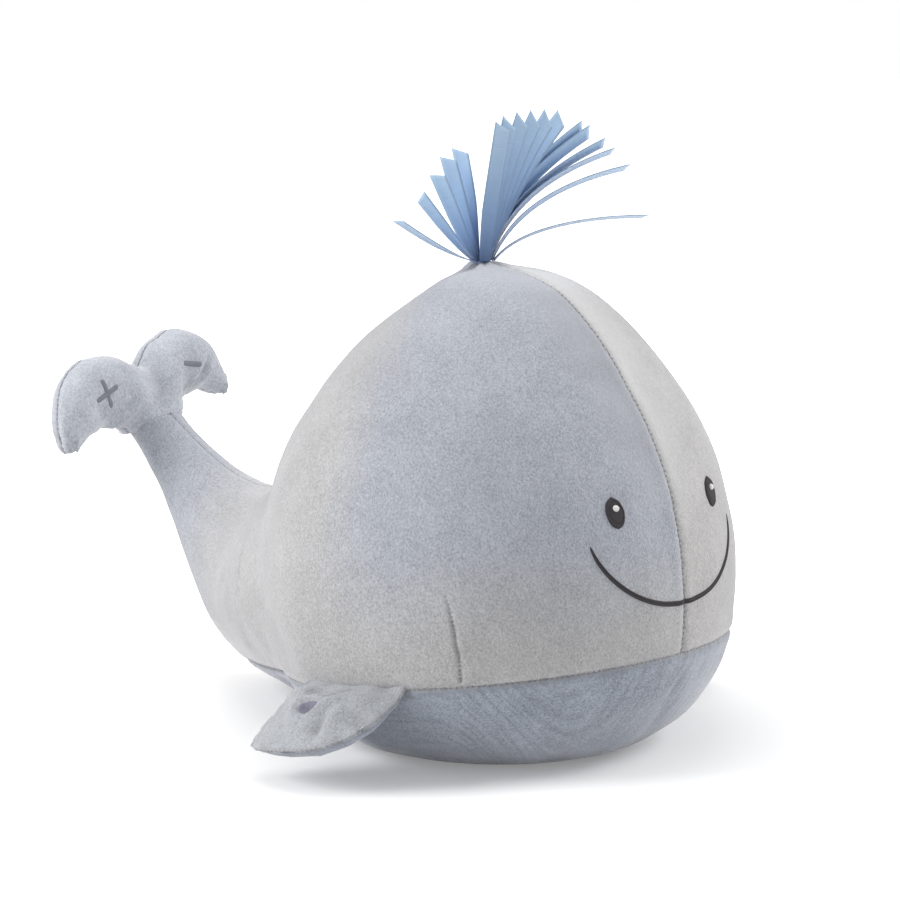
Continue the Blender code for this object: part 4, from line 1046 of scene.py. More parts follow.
@dataclass
class WhaleBody:
    """The head and body in three velour panels, stuffed and sewn."""

    head_height: float = 0.190
    head_radius: float = 0.0932
    flat_cut: float = 0.0005
    tail_reach: float = 0.200
    tail_rise: float = 0.105
    haunch_radius: float = 0.058
    fabric: float = 1.3 * MM
    fuse_voxel: float = 0.003
    fuse_rounds: int = 14
    seam_front: float = 0.0464
    seam_rear: float = 0.010
    seam_length: float = 0.250
    seam_curve: float = 0.95
    lump: float = 0.55 * MM
    tuft_place: float = 0.00783
    gather: Vector = field(default_factory=lambda: Vector((-3.4 * MM, 3.8 * MM, 0.0)))
    tuck: SeamTuck = field(default_factory=SeamTuck)
    stuffer: Stuffer = field(default_factory=lambda: Stuffer(3.0, 0.012, 1.6 * MM, 14))
    head_profile: tuple = (
        (0.0, 0.0, 0.0),
        (0.30, 0.0, 0.0),
        (0.52, 0.0, 0.0),
        (0.66, 0.017, 0.0),
        (0.76, 0.047, 0.0),
        (0.834, 0.085, 0.0),
        (0.923, 0.149, 0.0),
        (0.962, 0.190, 0.0),
        (0.988, 0.246, 0.0),
        (1.0, 0.355, 0.0),
        (0.987, 0.438, 0.0),
        (0.960, 0.503, 0.0),
        (0.925, 0.567, 0.0),
        (0.872, 0.632, 0.0),
        (0.795, 0.695, -0.01),
        (0.707, 0.759, -0.01),
        (0.595, 0.824, -0.02),
        (0.462, 0.885, -0.035),
        (0.300, 0.945, -0.035),
        (0.145, 0.975, 0.0),
        (0.0, 0.989, 0.035),
    )
    tail_stations: tuple = (
        (0.08, 0.56, 1.44, 0.70),
        (0.26, 0.53, 1.30, 0.73),
        (0.44, 0.475, 1.03, 0.81),
        (0.58, 0.465, 0.72, 0.95),
        (0.695, 0.55, 0.49, 1.00),
        (0.79, 0.67, 0.345, 0.98),
        (0.89, 0.83, 0.252, 0.92),
        (0.995, 1.00, 0.215, 0.86),
        (1.07, 1.13, 0.215, 0.86),
    )
    creases: tuple = (
        PanelLine(
            (
                (-0.0810, -0.0430, 0.0790),
                (-0.0804, -0.0452, 0.0720),
                (-0.0797, -0.0472, 0.0630),
                (-0.0794, -0.0478, 0.0570),
                (-0.0785, -0.0486, 0.0520),
                (-0.0775, -0.0484, 0.0430),
            ),
            1.1 * MM,
            0.9 * MM,
            True,
        ),
        PanelLine(
            (
                (-0.0050, 0.1010, 0.0890),
                (-0.0243, 0.1020, 0.0840),
                (-0.0375, 0.1012, 0.0736),
                (-0.0430, 0.1030, 0.0650),
                (-0.0470, 0.1060, 0.0540),
            ),
            1.2 * MM,
            6.5 * MM,
        ),
    )

    def seam_height(self, place: float) -> float:
        """Height of the belly seam at a place along Y."""
        along = min(max((place + self.head_radius) / self.seam_length, 0.0), 1.0)
        return self.seam_rear + (self.seam_front - self.seam_rear) * (1.0 - along) ** self.seam_curve

    def fluke_seat(self) -> tuple[Vector, Vector]:
        """A point and the normal of the plane where the tail ends."""
        seat = Vector((0.0, self.tail_reach, self.tail_rise))
        return seat, Fluke.frame().to_3x3() @ Vector((0.0, 0.0, 1.0))

    def _head(self, bm: bmesh.types.BMesh) -> None:
        """Spins the head's profile about the upright axis and draws the crown back."""
        stations = smooth_line(self.head_profile, 5)
        heights = stations[:, 1] * (self.head_height + self.flat_cut) - self.flat_cut
        radii = [max(share, 0.0) * self.head_radius for share in stations[:, 0]]
        verts = [bm.verts.new((radius, 0.0, height)) for radius, height in zip(radii, heights)]
        edges = [bm.edges.new(pair) for pair in zip(verts, verts[1:])]
        bmesh.ops.spin(
            bm, geom=verts + edges, cent=(0, 0, 0), axis=(0, 0, 1), angle=math.tau, steps=96, use_merge=True
        )
        bmesh.ops.remove_doubles(bm, verts=bm.verts, dist=0.01 * MM)
        leans = stations[:, 2] * self.head_radius
        for vert in bm.verts:
            vert.co.y += float(np.interp(vert.co.z, heights, leans))

    def _tail(self, bm: bmesh.types.BMesh) -> None:
        """Extrudes a circle from the haunches to the end of the tail."""
        stations = smooth_line(self.tail_stations, 3)
        centres = [
            Vector((0.0, reach * self.tail_reach, rise * self.tail_rise)) for reach, rise, _, _ in stations
        ]
        ring = bmesh.ops.create_circle(bm, cap_ends=True, segments=32, radius=1.0)["verts"]
        faces = [face for face in ring[0].link_faces]
        last = Matrix.Identity(4)
        for i, (_, _, girth, roundness) in enumerate(stations):
            ahead = (centres[min(i + 1, len(centres) - 1)] - centres[max(i - 1, 0)]).normalized()
            up = ahead.cross(Vector((1.0, 0.0, 0.0))).normalized()
            radius = girth * self.haunch_radius
            columns = (Vector((radius, 0.0, 0.0)), up * radius * roundness, ahead)
            place = Matrix.Translation(centres[i]) @ Matrix(columns).transposed().to_4x4()
            if i:
                made = bmesh.ops.extrude_face_region(bm, geom=faces)["geom"]
                faces = [item for item in made if isinstance(item, bmesh.types.BMFace)]
                ring = [item for item in made if isinstance(item, bmesh.types.BMVert)]
                if i == 1:
                    bmesh.ops.reverse_faces(bm, faces=faces)
            bmesh.ops.transform(bm, matrix=place @ last.inverted(), verts=ring)
            last = place

    def form(self) -> bmesh.types.BMesh:
        """Head and tail fused into one soft form, the same on both sides and flat underneath."""
        bm = bmesh.new()
        self._head(bm)
        self._tail(bm)
        bmesh.ops.holes_fill(bm, edges=[edge for edge in bm.edges if edge.is_boundary], sides=0)
        bmesh.ops.recalc_face_normals(bm, faces=bm.faces)
        piece = scratch_object("body_form", bm)
        bm.free()
        fuse = piece.modifiers.new("fuse", "REMESH")
        fuse.mode = "VOXEL"
        fuse.voxel_size = self.fuse_voxel
        soften = piece.modifiers.new("soften", "SMOOTH")
        soften.factor = 0.5
        soften.iterations = self.fuse_rounds
        bm = evaluated(piece)
        for vert in bm.verts:
            vert.co.z = max(vert.co.z, 0.0)
        everything = bm.verts[:] + bm.edges[:] + bm.faces[:]
        bmesh.ops.bisect_plane(bm, geom=everything, plane_co=(0, 0, 0), plane_no=(1, 0, 0), clear_outer=True)
        everything = bm.verts[:] + bm.edges[:] + bm.faces[:]
        bmesh.ops.mirror(bm, geom=everything, merge_dist=0.01 * MM, axis="X")
        bmesh.ops.recalc_face_normals(bm, faces=bm.faces)
        return bm

    def _lines(self, bm: bmesh.types.BMesh) -> list[list[Vector]]:
        """The seams as lines of points: over the head, and round the belly."""
        middle = Vector((0.0, 0.020, 0.040))
        near = 0.01 * MM
        over = [
            vert.co.copy()
            for vert in bm.verts
            if abs(vert.co.x) < near and vert.co.z > self.seam_height(vert.co.y) - near
        ]
        over.sort(key=lambda co: math.atan2(co.z - middle.z, co.y - middle.y) % math.tau)
        rim = [vert.co.copy() for vert in bm.verts if abs(vert.co.z - self.seam_height(vert.co.y)) < near]
        rim.sort(key=lambda co: math.atan2(co.x, middle.y - co.y))
        return [over, rim + rim[:1]]

    def _furrow(self, bm: bmesh.types.BMesh, line: PanelLine) -> None:
        """Presses one crease into the surface, on a finer mesh where it is narrow, and paints shade along it
        where it is stitched.
        """
        surface = BVHTree.FromBMesh(bm)
        points = [surface.find_nearest(Vector(point))[0] for point in smooth_line(line.points, 6)]
        tree = KDTree(len(points))
        for index, point in enumerate(points):
            tree.insert(point, index)
        tree.balance()

        def gap(place: Vector) -> tuple[float, float]:
            """Distance from the crease and the share of its length, on either side of the toy."""
            _, index, distance = tree.find(Vector((-abs(place.x), place.y, place.z)))
            return distance, index / (len(points) - 1)

        if line.stitched:
            for reach in (6.0 * MM, 4.0 * MM):
                edges = [e for e in bm.edges if gap((e.verts[0].co + e.verts[1].co) / 2)[0] < reach]
                bmesh.ops.subdivide_edges(bm, edges=edges, cuts=1, use_grid_fill=True)
        dart = bm.verts.layers.float[PAINTED_SHADE]

        def depth(vert: bmesh.types.BMVert) -> float:
            """Depth of the crease at a vertex."""
            distance, share = gap(vert.co)
            fade = min(share / 0.35, 1.0)
            if line.stitched:
                # Painted shade along the stitched crease.
                vert[dart] = max(vert[dart], fade * bell(distance, 0.7 * MM))
            return -line.depth * fade * bell(distance, line.width) if distance < 3 * line.width else 0.0

        displace(bm, depth)

    def sewn(self) -> bmesh.types.BMesh:
        """The form with its seams, creases and lumps."""
        bm = self.form()
        seat, up = self.fluke_seat()

        def held(vert: bmesh.types.BMVert) -> float:
            """Seams, sole and tail end are held."""
            height = vert.co.z - self.seam_height(vert.co.y)
            near = min(abs(vert.co.x), abs(height))
            if vert.co.z < 1.5 * MM or (vert.co.y > 0.15 and (vert.co - seat).dot(up) > -4 * MM):
                return 1.0
            return 1.0 if near < 1.6 * MM else 0.0

        self.stuffer.plump(bm, held)
        piece = scratch_object("body_form", bm)
        bm.free()
        finer = piece.modifiers.new("finer", "SUBSURF")
        finer.levels = finer.render_levels = 1
        bm = evaluated(piece)
        bm.verts.layers.float.new(PAINTED_SHADE)
        for vert in bm.verts:
            vert.co.z = max(vert.co.z, 0.0)
            if abs(vert.co.x) < 0.02 * MM:
                vert.co.x = 0.0
        loops = [sign * step * MM for sign in (-1, 1) for step in (0.35, 0.8, 1.4, 2.2, 3.2)]
        score(bm, Vector(), Vector((1, 0, 0)), [0.0, *loops], 5 * MM)
        for vert in bm.verts:
            vert.co.z -= self.seam_height(vert.co.y)
        score(bm, Vector(), Vector((0, 0, 1)), [0.0, *loops], 5 * MM)
        for vert in bm.verts:
            if abs(vert.co.z) < 0.02 * MM:
                vert.co.z = 0.0
            vert.co.z += self.seam_height(vert.co.y)
        behind = [face for face in bm.faces if face.calc_center_median().y > 0.12]
        verts = {vert for face in behind for vert in face.verts}
        edges = {edge for face in behind for edge in face.edges}
        bmesh.ops.bisect_plane(
            bm, geom=list(verts) + list(edges) + behind, plane_co=seat, plane_no=up, clear_outer=True
        )
        lines = self._lines(bm)
        rim = {v for e in bm.edges if e.is_boundary for v in e.verts}
        turn = Fluke.frame().inverted()
        ends = sorted((v.co.copy() for v in rim), key=lambda co: math.atan2((turn @ co).y, (turn @ co).x))

        def soft(place: Vector) -> float:
            """The middle seam is pulled less tight along the tail."""
            on_tail = min(max((place.y - 0.07) / 0.04, 0.0), 1.0)
            middle = abs(place.x) < 0.1 * MM and (place - seat).dot(up) < -1 * MM
            return 0.75 * MM * on_tail if middle else 0.0

        mark_seams(bm, [*lines, ends + ends[:1]], soft)
        gap = bm.verts.layers.float[SEAM_GAP]
        run = bm.verts.layers.float[SEAM_RUN]
        crown = Vector((0.0, self.tuft_place, 0.0))

        def surface(vert: bmesh.types.BMVert) -> float:
            """Height of seams, lumps and the gathered crown over the plain form."""
            place = vert.co
            lumps = noise.noise(place / (38 * MM)) * self.lump
            lumps += noise.noise(place / (17 * MM)) * self.lump * 0.4
            away = place - crown
            away.z = 0.0
            spread = away.length
            pleat = math.sin(9 * math.atan2(away.y, away.x) + 0.7) * 0.5 * MM * bell(spread - 6 * MM, 5 * MM)
            well = 0.8 * MM * bell(spread, 5 * MM) + 1.5 * MM * bell((away - self.gather).length, 2.6 * MM)
            flat = min(max(place.z / (4 * MM), 0.0), 1.0)
            top = 1.0 if place.z > 0.1 else 0.0
            return flat * (lumps + top * (pleat + well) + self.tuck.height(vert[gap], vert[run]))

        displace(bm, surface)
        for line in self.creases:
            self._furrow(bm, line)
        for vert in bm.verts:
            vert.co.z = max(vert.co.z, 0.0)
        bm.normal_update()
        return bm

    def _flow(self, bm: bmesh.types.BMesh) -> None:
        """Stores the way the belly's pile is brushed: across and along the streaks."""
        flow = bm.verts.layers.float_vector.new("flow")
        for vert in bm.verts:
            around = math.atan2(vert.co.x, -vert.co.y)
            run = around * self.head_radius
            drop = self.seam_height(vert.co.y) - vert.co.z
            front = min(max((around + 1.15) / 0.9, 0.0), 1.0)
            tilt = 1.15 * front * front * (3 - 2 * front)
            cos, sin = math.cos(tilt), math.sin(tilt)
            vert[flow] = Vector((drop * cos + run * sin, run * cos - drop * sin, 0.0))

    def build(self, fillings: Sequence[BVHTree]) -> BVHTree:
        """Makes the three panels.

        Args:
            fillings: Surfaces of what is inside.

        Returns:
            The whole surface, for what is stitched on it.
        """
        whole = self.sewn()
        keep_over(whole, fillings)
        surface = BVHTree.FromBMesh(whole)
        panels = (
            ("side_panel_right", Finish.RIGHT_VELOUR, lambda co, up: co.x < 0 and up > 0),
            ("side_panel_left", Finish.LEFT_VELOUR, lambda co, up: co.x > 0 and up > 0),
            ("belly_panel", Finish.BELLY_VELOUR, lambda co, up: up < 0),
        )
        for node, finish, inside in panels:
            name = f"whale_{node}"
            bm = whole.copy()
            others = []
            for face in bm.faces:
                centre = face.calc_center_median()
                if not inside(centre, centre.z - self.seam_height(centre.y)):
                    others.append(face)
            bmesh.ops.delete(bm, geom=others, context="FACES")
            if node == "belly_panel":
                self._flow(bm)
            piece = add_piece(name, bm, finish, "body", (node,), turn=False)
            thicken(piece, self.fabric)
        whole.free()
        return surface


# Padded limbs


@dataclass
class PaddedLimb:
    """A flat stuffed limb of two panels, drawn by stations along it in its own frame."""

    stations: tuple
    half_thickness: float
    length: float
    width: float
    power: float
    fabric: float = 1.2 * MM
    steps_along: int = 90
    steps_across: int = 44
    seam_back: float = 0.0
    tuck: SeamTuck = field(default_factory=lambda: SeamTuck(0.5 * MM, 0.8 * MM, 0.3 * MM, 2.6 * MM, 2.0 * MM))
    stuffer: Stuffer = field(default_factory=lambda: Stuffer(2.0, 0.035, 0.8 * MM, 16, 24))

    def face(self, bm: bmesh.types.BMesh, side: int) -> None:
        """Adds one face of the limb, shaped from a flat grid.

        Args:
            bm: The form.
            side: -1 for the front or top, 1 for the other face.
        """
        table = smooth_line(self.stations, 6)
        table[0, 3] = table[-1, 3] = 0.0
        grid = bmesh.ops.create_grid(bm, x_segments=self.steps_along, y_segments=self.steps_across, size=1.0)
        for vert in grid["verts"]:
            place, low, high, thick = at_share(table, (vert.co.x + 1) / 2)
            share = (1 - math.cos(math.pi * (vert.co.y + 1) / 2)) / 2
            rise = math.sqrt(max(1.0 - abs(2.0 * share - 1.0) ** self.power, 0.0))
            across = low + (high - low) * share
            lean = self.seam_back * (1 - rise) * min(max(share * 2 - 0.6, 0.0), 1.0) * max(thick, 0.0) ** 2
            out = side * max(thick, 0.0) * self.half_thickness * rise + lean
            vert.co = Vector((place * self.length, out, across * self.width))

    def rim(self, bm: bmesh.types.BMesh) -> list[Vector]:
        """The seam between both faces, before they are joined: the outline of the first face."""
        edges = [edge for edge in bm.edges if edge.is_boundary]
        vert = edges[0].verts[0]
        line = [vert.co.copy()]
        edge = edges[0]
        while True:
            vert = edge.other_vert(vert)
            line.append(vert.co.copy())
            edge = next(e for e in vert.link_edges if e.is_boundary and e is not edge)
            if edge is edges[0]:
                return line

    def sewn(self, press: Callable[[bmesh.types.BMVert], float]) -> tuple[bmesh.types.BMesh, int]:
        """Both faces joined, plumped and puckered, in the limb's own frame, with painted shade in its hollows.

        Args:
            press: Extra height of the surface at a vertex, such as a dimple.

        Returns:
            The form, and the number of faces of the first side.
        """
        bm = bmesh.new()
        side = bm.faces.layers.int.new("side")
        dart = bm.verts.layers.float.new(PAINTED_SHADE)
        self.face(bm, -1)
        seam = self.rim(bm)
        count = len(bm.faces)
        self.face(bm, 1)
        bm.faces.ensure_lookup_table()
        for index, face in enumerate(bm.faces):
            face[side] = 0 if index < count else 1
        bmesh.ops.remove_doubles(bm, verts=bm.verts, dist=0.01 * MM)
        bmesh.ops.dissolve_degenerate(bm, edges=bm.edges, dist=0.005 * MM)
        bmesh.ops.recalc_face_normals(bm, faces=bm.faces)
        if bm.calc_volume(signed=True) < 0:
            bmesh.ops.reverse_faces(bm, faces=bm.faces)
        mark_seams(bm, [seam])
        gap = bm.verts.layers.float[SEAM_GAP]
        run = bm.verts.layers.float[SEAM_RUN]
        bm.verts.index_update()
        self.stuffer.plump(bm, lambda vert: 1.0 if vert[gap] < 0.3 * MM else 0.0)
        for vert in bm.verts:
            # Painted shade: the deeper a hollow is pressed, the darker its pile.
            vert[dart] = min(max(-press(vert) / (1.8 * MM), 0.0), 0.75)
        displace(bm, lambda vert: self.tuck.height(vert[gap], vert[run]) + press(vert))
        return bm, side

    def panel(self, whole: bmesh.types.BMesh, number: int) -> bmesh.types.BMesh:
        """One side's fabric out of the whole form."""
        bm = whole.copy()
        side = bm.faces.layers.int["side"]
        bmesh.ops.delete(bm, geom=[face for face in bm.faces if face[side] != number], context="FACES")
        return bm


@dataclass
class Fluke(PaddedLimb):
    """The tail fluke: two puffy lobes that nod on the seam at the end of the tail."""

    stations: tuple = ()
    right_lobe: tuple = (
        (0.09, -0.47, 0.70, 0.95),
        (0.17, -0.36, 0.77, 0.89),
        (0.215, -0.22, 0.81, 0.87),
        (0.29, -0.08, 0.85, 0.85),
        (0.38, -0.03, 0.87, 0.85),
        (0.53, 0.04, 0.88, 0.86),
        (0.63, 0.02, 0.84, 0.83),
        (0.73, -0.04, 0.78, 0.76),
        (0.84, -0.15, 0.64, 0.63),
        (0.92, -0.18, 0.46, 0.48),
        (0.97, -0.13, 0.25, 0.29),
        (0.985, -0.02, 0.08, 0.10),
    )
    left_lobe: tuple = (
        (0.00, -0.50, 0.66, 1.00),
        (0.09, -0.47, 0.76, 1.00),
        (0.17, -0.36, 0.86, 0.98),
        (0.225, -0.20, 0.90, 0.95),
        (0.27, -0.02, 0.92, 0.93),
        (0.345, 0.06, 0.95, 0.93),
        (0.46, 0.10, 1.00, 0.94),
        (0.60, 0.15, 0.92, 0.91),
        (0.71, 0.09, 0.79, 0.83),
        (0.785, 0.03, 0.62, 0.71),
        (0.835, 0.00, 0.45, 0.54),
        (0.865, 0.02, 0.25, 0.33),
        (0.88, 0.06, 0.13, 0.14),
    )
    half_thickness: float = 0.0125
    length: float = 0.056
    width: float = 0.033
    power: float = 2.5
    steps_along: int = 120
    stem: float = 0.022
    reliefs: tuple = (
        Dimple(-29.0, 12.5, -0.8, 9.0, stretch=1.2),
        Dimple(22.0, 17.0, -0.5, 6.0),
        Dimple(22.0, 6.5, -1.8, 4.0, stretch=1.3),
        Fold(29.5, 12.5, (0.655, 0.756), -2.2, 1.8, 6.5, 0.8, 4.0, 2.5, 6.5),
        Fold(-18.5, 8.0, (0.83, 0.56), -1.0, 1.5, 4.5, 0.5, 3.0, 2.0, 4.5),
    )
    neck_height: float = -3.6 * MM
    neck_slope: float = 0.13
    neck_swell: float = 0.8 * MM
    seam_back: float = 1.5 * MM

    def __post_init__(self) -> None:
        """Sets the right lobe before the left one."""
        self.stations = tuple((-place, *rest) for place, *rest in self.right_lobe[::-1]) + self.left_lobe

    @staticmethod
    def frame() -> Matrix:
        """The fluke's own frame: X along the span, -Y its front, Z up, its seam at the origin."""
        turn = Matrix.Rotation(math.radians(4), 4, "Z") @ Matrix.Rotation(math.radians(-12), 4, "X")
        return Matrix.Translation((0.0, 0.200, 0.105)) @ turn @ Matrix.Rotation(math.radians(-4), 4, "Y")

    def press(self, vert: bmesh.types.BMVert) -> float:
        """Dimples of the lobes: round the signs, and the creases beside them."""
        soft = noise.noise(vert.co / (11 * MM)) * 0.4 * MM
        if vert.normal.y > 0.2:
            return soft
        x, z = vert.co.x / MM, vert.co.z / MM
        valley = -1.5 * bell(x - 0.35 * z + 4.0, 5.0) * bell(z - 14.0, 10.0)
        rim = 1.1 * bell(math.hypot((x + 29.0) / 1.2, z - 14.5) - 14.0, 3.0)
        return (valley + rim + sum(relief.at(x, z) for relief in self.reliefs)) * MM + soft

    def build(self, fillings: Sequence[BVHTree]) -> BVHTree:
        """Makes both panels of the fluke.

        Args:
            fillings: Surfaces of what is inside.

        Returns:
            Its surface, for the stitched signs.
        """
        frame = self.frame()
        whole, _ = self.sewn(self.press)
        for offset in (6.5, 5.0, 3.8, 2.8, 2.0, 1.2, 0.6, 0.0):
            faces = [face for face in whole.faces if abs(face.calc_center_median().x) < self.stem]
            verts = {vert for face in faces for vert in face.verts}
            edges = {edge for face in faces for edge in face.edges}
            bmesh.ops.bisect_plane(
                whole,
                geom=list(verts) + list(edges) + faces,
                plane_co=(0, 0, self.neck_height + offset * MM),
                plane_no=(self.neck_slope, 0, -1),
                clear_outer=offset == 0,
            )
        gap = whole.verts.layers.float[SEAM_GAP]
        for vert in whole.verts:
            over = vert.co.z - self.neck_height - self.neck_slope * vert.co.x
            if abs(vert.co.x) < self.stem and over < 10 * MM:
                swell = self.neck_swell * bell(over - 3 * MM, 2.6 * MM) - 0.8 * MM * bell(over, 0.9 * MM)
                swell *= min((self.stem - abs(vert.co.x)) / (7 * MM), 1.0)
                vert.co.y += math.copysign(swell, vert.co.y)
                vert[gap] = min(vert[gap], max(over, 0.0) + 0.2 * MM)
        whole.transform(frame)
        keep_over(whole, fillings, 3.5 * MM)
        surface = BVHTree.FromBMesh(whole)
        up = frame.to_3x3() @ Vector((0.0, 0.0, 1.0))
        start = frame.translation + up * 0.2 * MM
        end = frame.translation + up * 6.5 * MM
        panels = (("fluke_front", "fluke_front_panel", 0), ("fluke_back", "fluke_back_panel", 1))
        for name, node, number in panels:
            piece = add_piece(
                f"whale_{name}", self.panel(whole, number), Finish.FLUKE_VELOUR, "", (node,), turn=False
            )
            thicken(piece, self.fabric)
            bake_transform(piece, "body", "fluke", start=tuple(start), end=tuple(end))
        whole.free()
        return surface


class Side(Enum):
    """A side of the whale."""

    RIGHT = -1
    LEFT = 1


@dataclass
class Flipper(PaddedLimb):
    """A flipper: pale above, blue below, that flaps on the seam at its root."""

    side: Side = Side.RIGHT
    stations: tuple = (
        (0.00, 0.05, 0.14, 0.12),
        (0.03, 0.0, 0.30, 0.35),
        (0.10, 0.0, 0.56, 0.62),
        (0.20, 0.0, 0.77, 0.84),
        (0.386, 0.0, 0.94, 1.00),
        (0.63, 0.0, 1.00, 1.00),
        (0.80, 0.0, 0.98, 0.86),
        (0.89, 0.05, 0.95, 0.70),
        (0.94, 0.34, 0.93, 0.54),
        (0.985, 0.55, 0.88, 0.32),
        (1.00, 0.66, 0.78, 0.12),
    )
    half_thickness: float = 0.006
    length: float = 0.057
    width: float = 0.037
    power: float = 3.0
    steps_along: int = 72
    steps_across: int = 52
    reliefs: tuple = (
        Fold(26.2, 9.5, (0.524, 0.857), -2.6, 1.1, 6.0, 2.4, 3.6, 2.3, 8.0),
        Dimple(43.5, 9.0, 2.6, 5.0, stretch=1.4),
        Dimple(36.5, 8.5, -2.2, 3.2, stretch=0.8),
        Fold(18.5, 22.0, (0.0, 1.0), 1.7, 2.4, 8.0),
        Fold(23.5, 23.0, (0.0, 1.0), -1.5, 2.4, 7.0),
        Dimple(9.0, 6.5, -2.4, 3.8),
        Dimple(10.5, 19.0, -1.2, 4.0),
    )
    root_x: float = 0.0877944
    seam_back: float = -3.4 * MM
    tuck: SeamTuck = field(
        default_factory=lambda: SeamTuck(0.25 * MM, 0.7 * MM, 0.2 * MM, 2.6 * MM, 2.0 * MM)
    )
    root_front: tuple = (-0.029, 0.037)
    root_rear: tuple = (0.022, 0.0316)
    droop: float = math.radians(36)
    root_sink: float = 5.0 * MM

    def frame(self) -> Matrix:
        """The flipper's own frame: X along its root, -Y up through it, Z outward."""
        sign = self.side.value
        front = Vector((sign * self.root_x, *self.root_front))
        rear = Vector((sign * self.root_x, *self.root_rear))
        along = (rear - front).normalized()
        out = Vector((sign * math.cos(self.droop), 0.0, -math.sin(self.droop)))
        out = (out - along * out.dot(along)).normalized()
        up = out.cross(along) * sign
        return Matrix.Translation(front) @ Matrix((along, -up, out)).transposed().to_4x4()

    def press(self, vert: bmesh.types.BMVert) -> float:
        """Puckers of the upper face round the stitched sign."""
        if vert.normal.y > 0.1 or self.side is Side.LEFT:
            return noise.noise(vert.co / (9 * MM)) * 0.5 * MM
        x, z = vert.co.x / MM, vert.co.z / MM
        along = (x - 33.6) * 0.88 + (z - 16.6) * 0.47
        ring = math.hypot(along / 1.35, (x - 33.6) * 0.47 - (z - 16.6) * 0.88)
        height = -2.0 * bell(ring, 2.8) + 1.6 * bell(ring - 5.2, 1.8)
        slit = -2.6 * bell(z - 4.6 - (x - 22.0) * 0.3, 1.0) * bell(x - 22.0, 3.6)
        soft = noise.noise(vert.co / (6 * MM)) * 0.8
        return (height + slit + sum(relief.at(x, z) for relief in self.reliefs) + soft) * MM

    def build(self, fillings: Sequence[BVHTree]) -> BVHTree:
        """Makes both panels of the flipper.

        Args:
            fillings: Surfaces of what is inside.

        Returns:
            Its surface, for the stitched sign.
        """
        frame = self.frame()
        word = self.side.name.lower()
        whole, _ = self.sewn(self.press)
        for vert in whole.verts:
            if vert.co.z < 3.0 * MM:
                vert.co.z -= self.root_sink * (1 - max(vert.co.z, 0.0) / (3.0 * MM))
        whole.transform(frame)
        bmesh.ops.recalc_face_normals(whole, faces=whole.faces)
        keep_over(whole, fillings, 2.5 * MM)
        surface = BVHTree.FromBMesh(whole)
        out = frame.to_3x3() @ Vector((0.0, 0.0, 1.0))
        start = frame.translation
        end = frame.translation + out * 7 * MM
        upper = Finish.FLIPPER_VELOUR, f"flipper_{word}_upper", 0
        lower = Finish.FLIPPER_BELLY_VELOUR, f"flipper_{word}_lower", 1
        for finish, node, number in (upper, lower):
            piece = add_piece(f"whale_{node}", self.panel(whole, number), finish, "", (node,), turn=False)
            thicken(piece, self.fabric)
            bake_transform(piece, "body", f"flipper_{word}", start=tuple(start), end=tuple(end))
        whole.free()
        return surface


# Embroidery


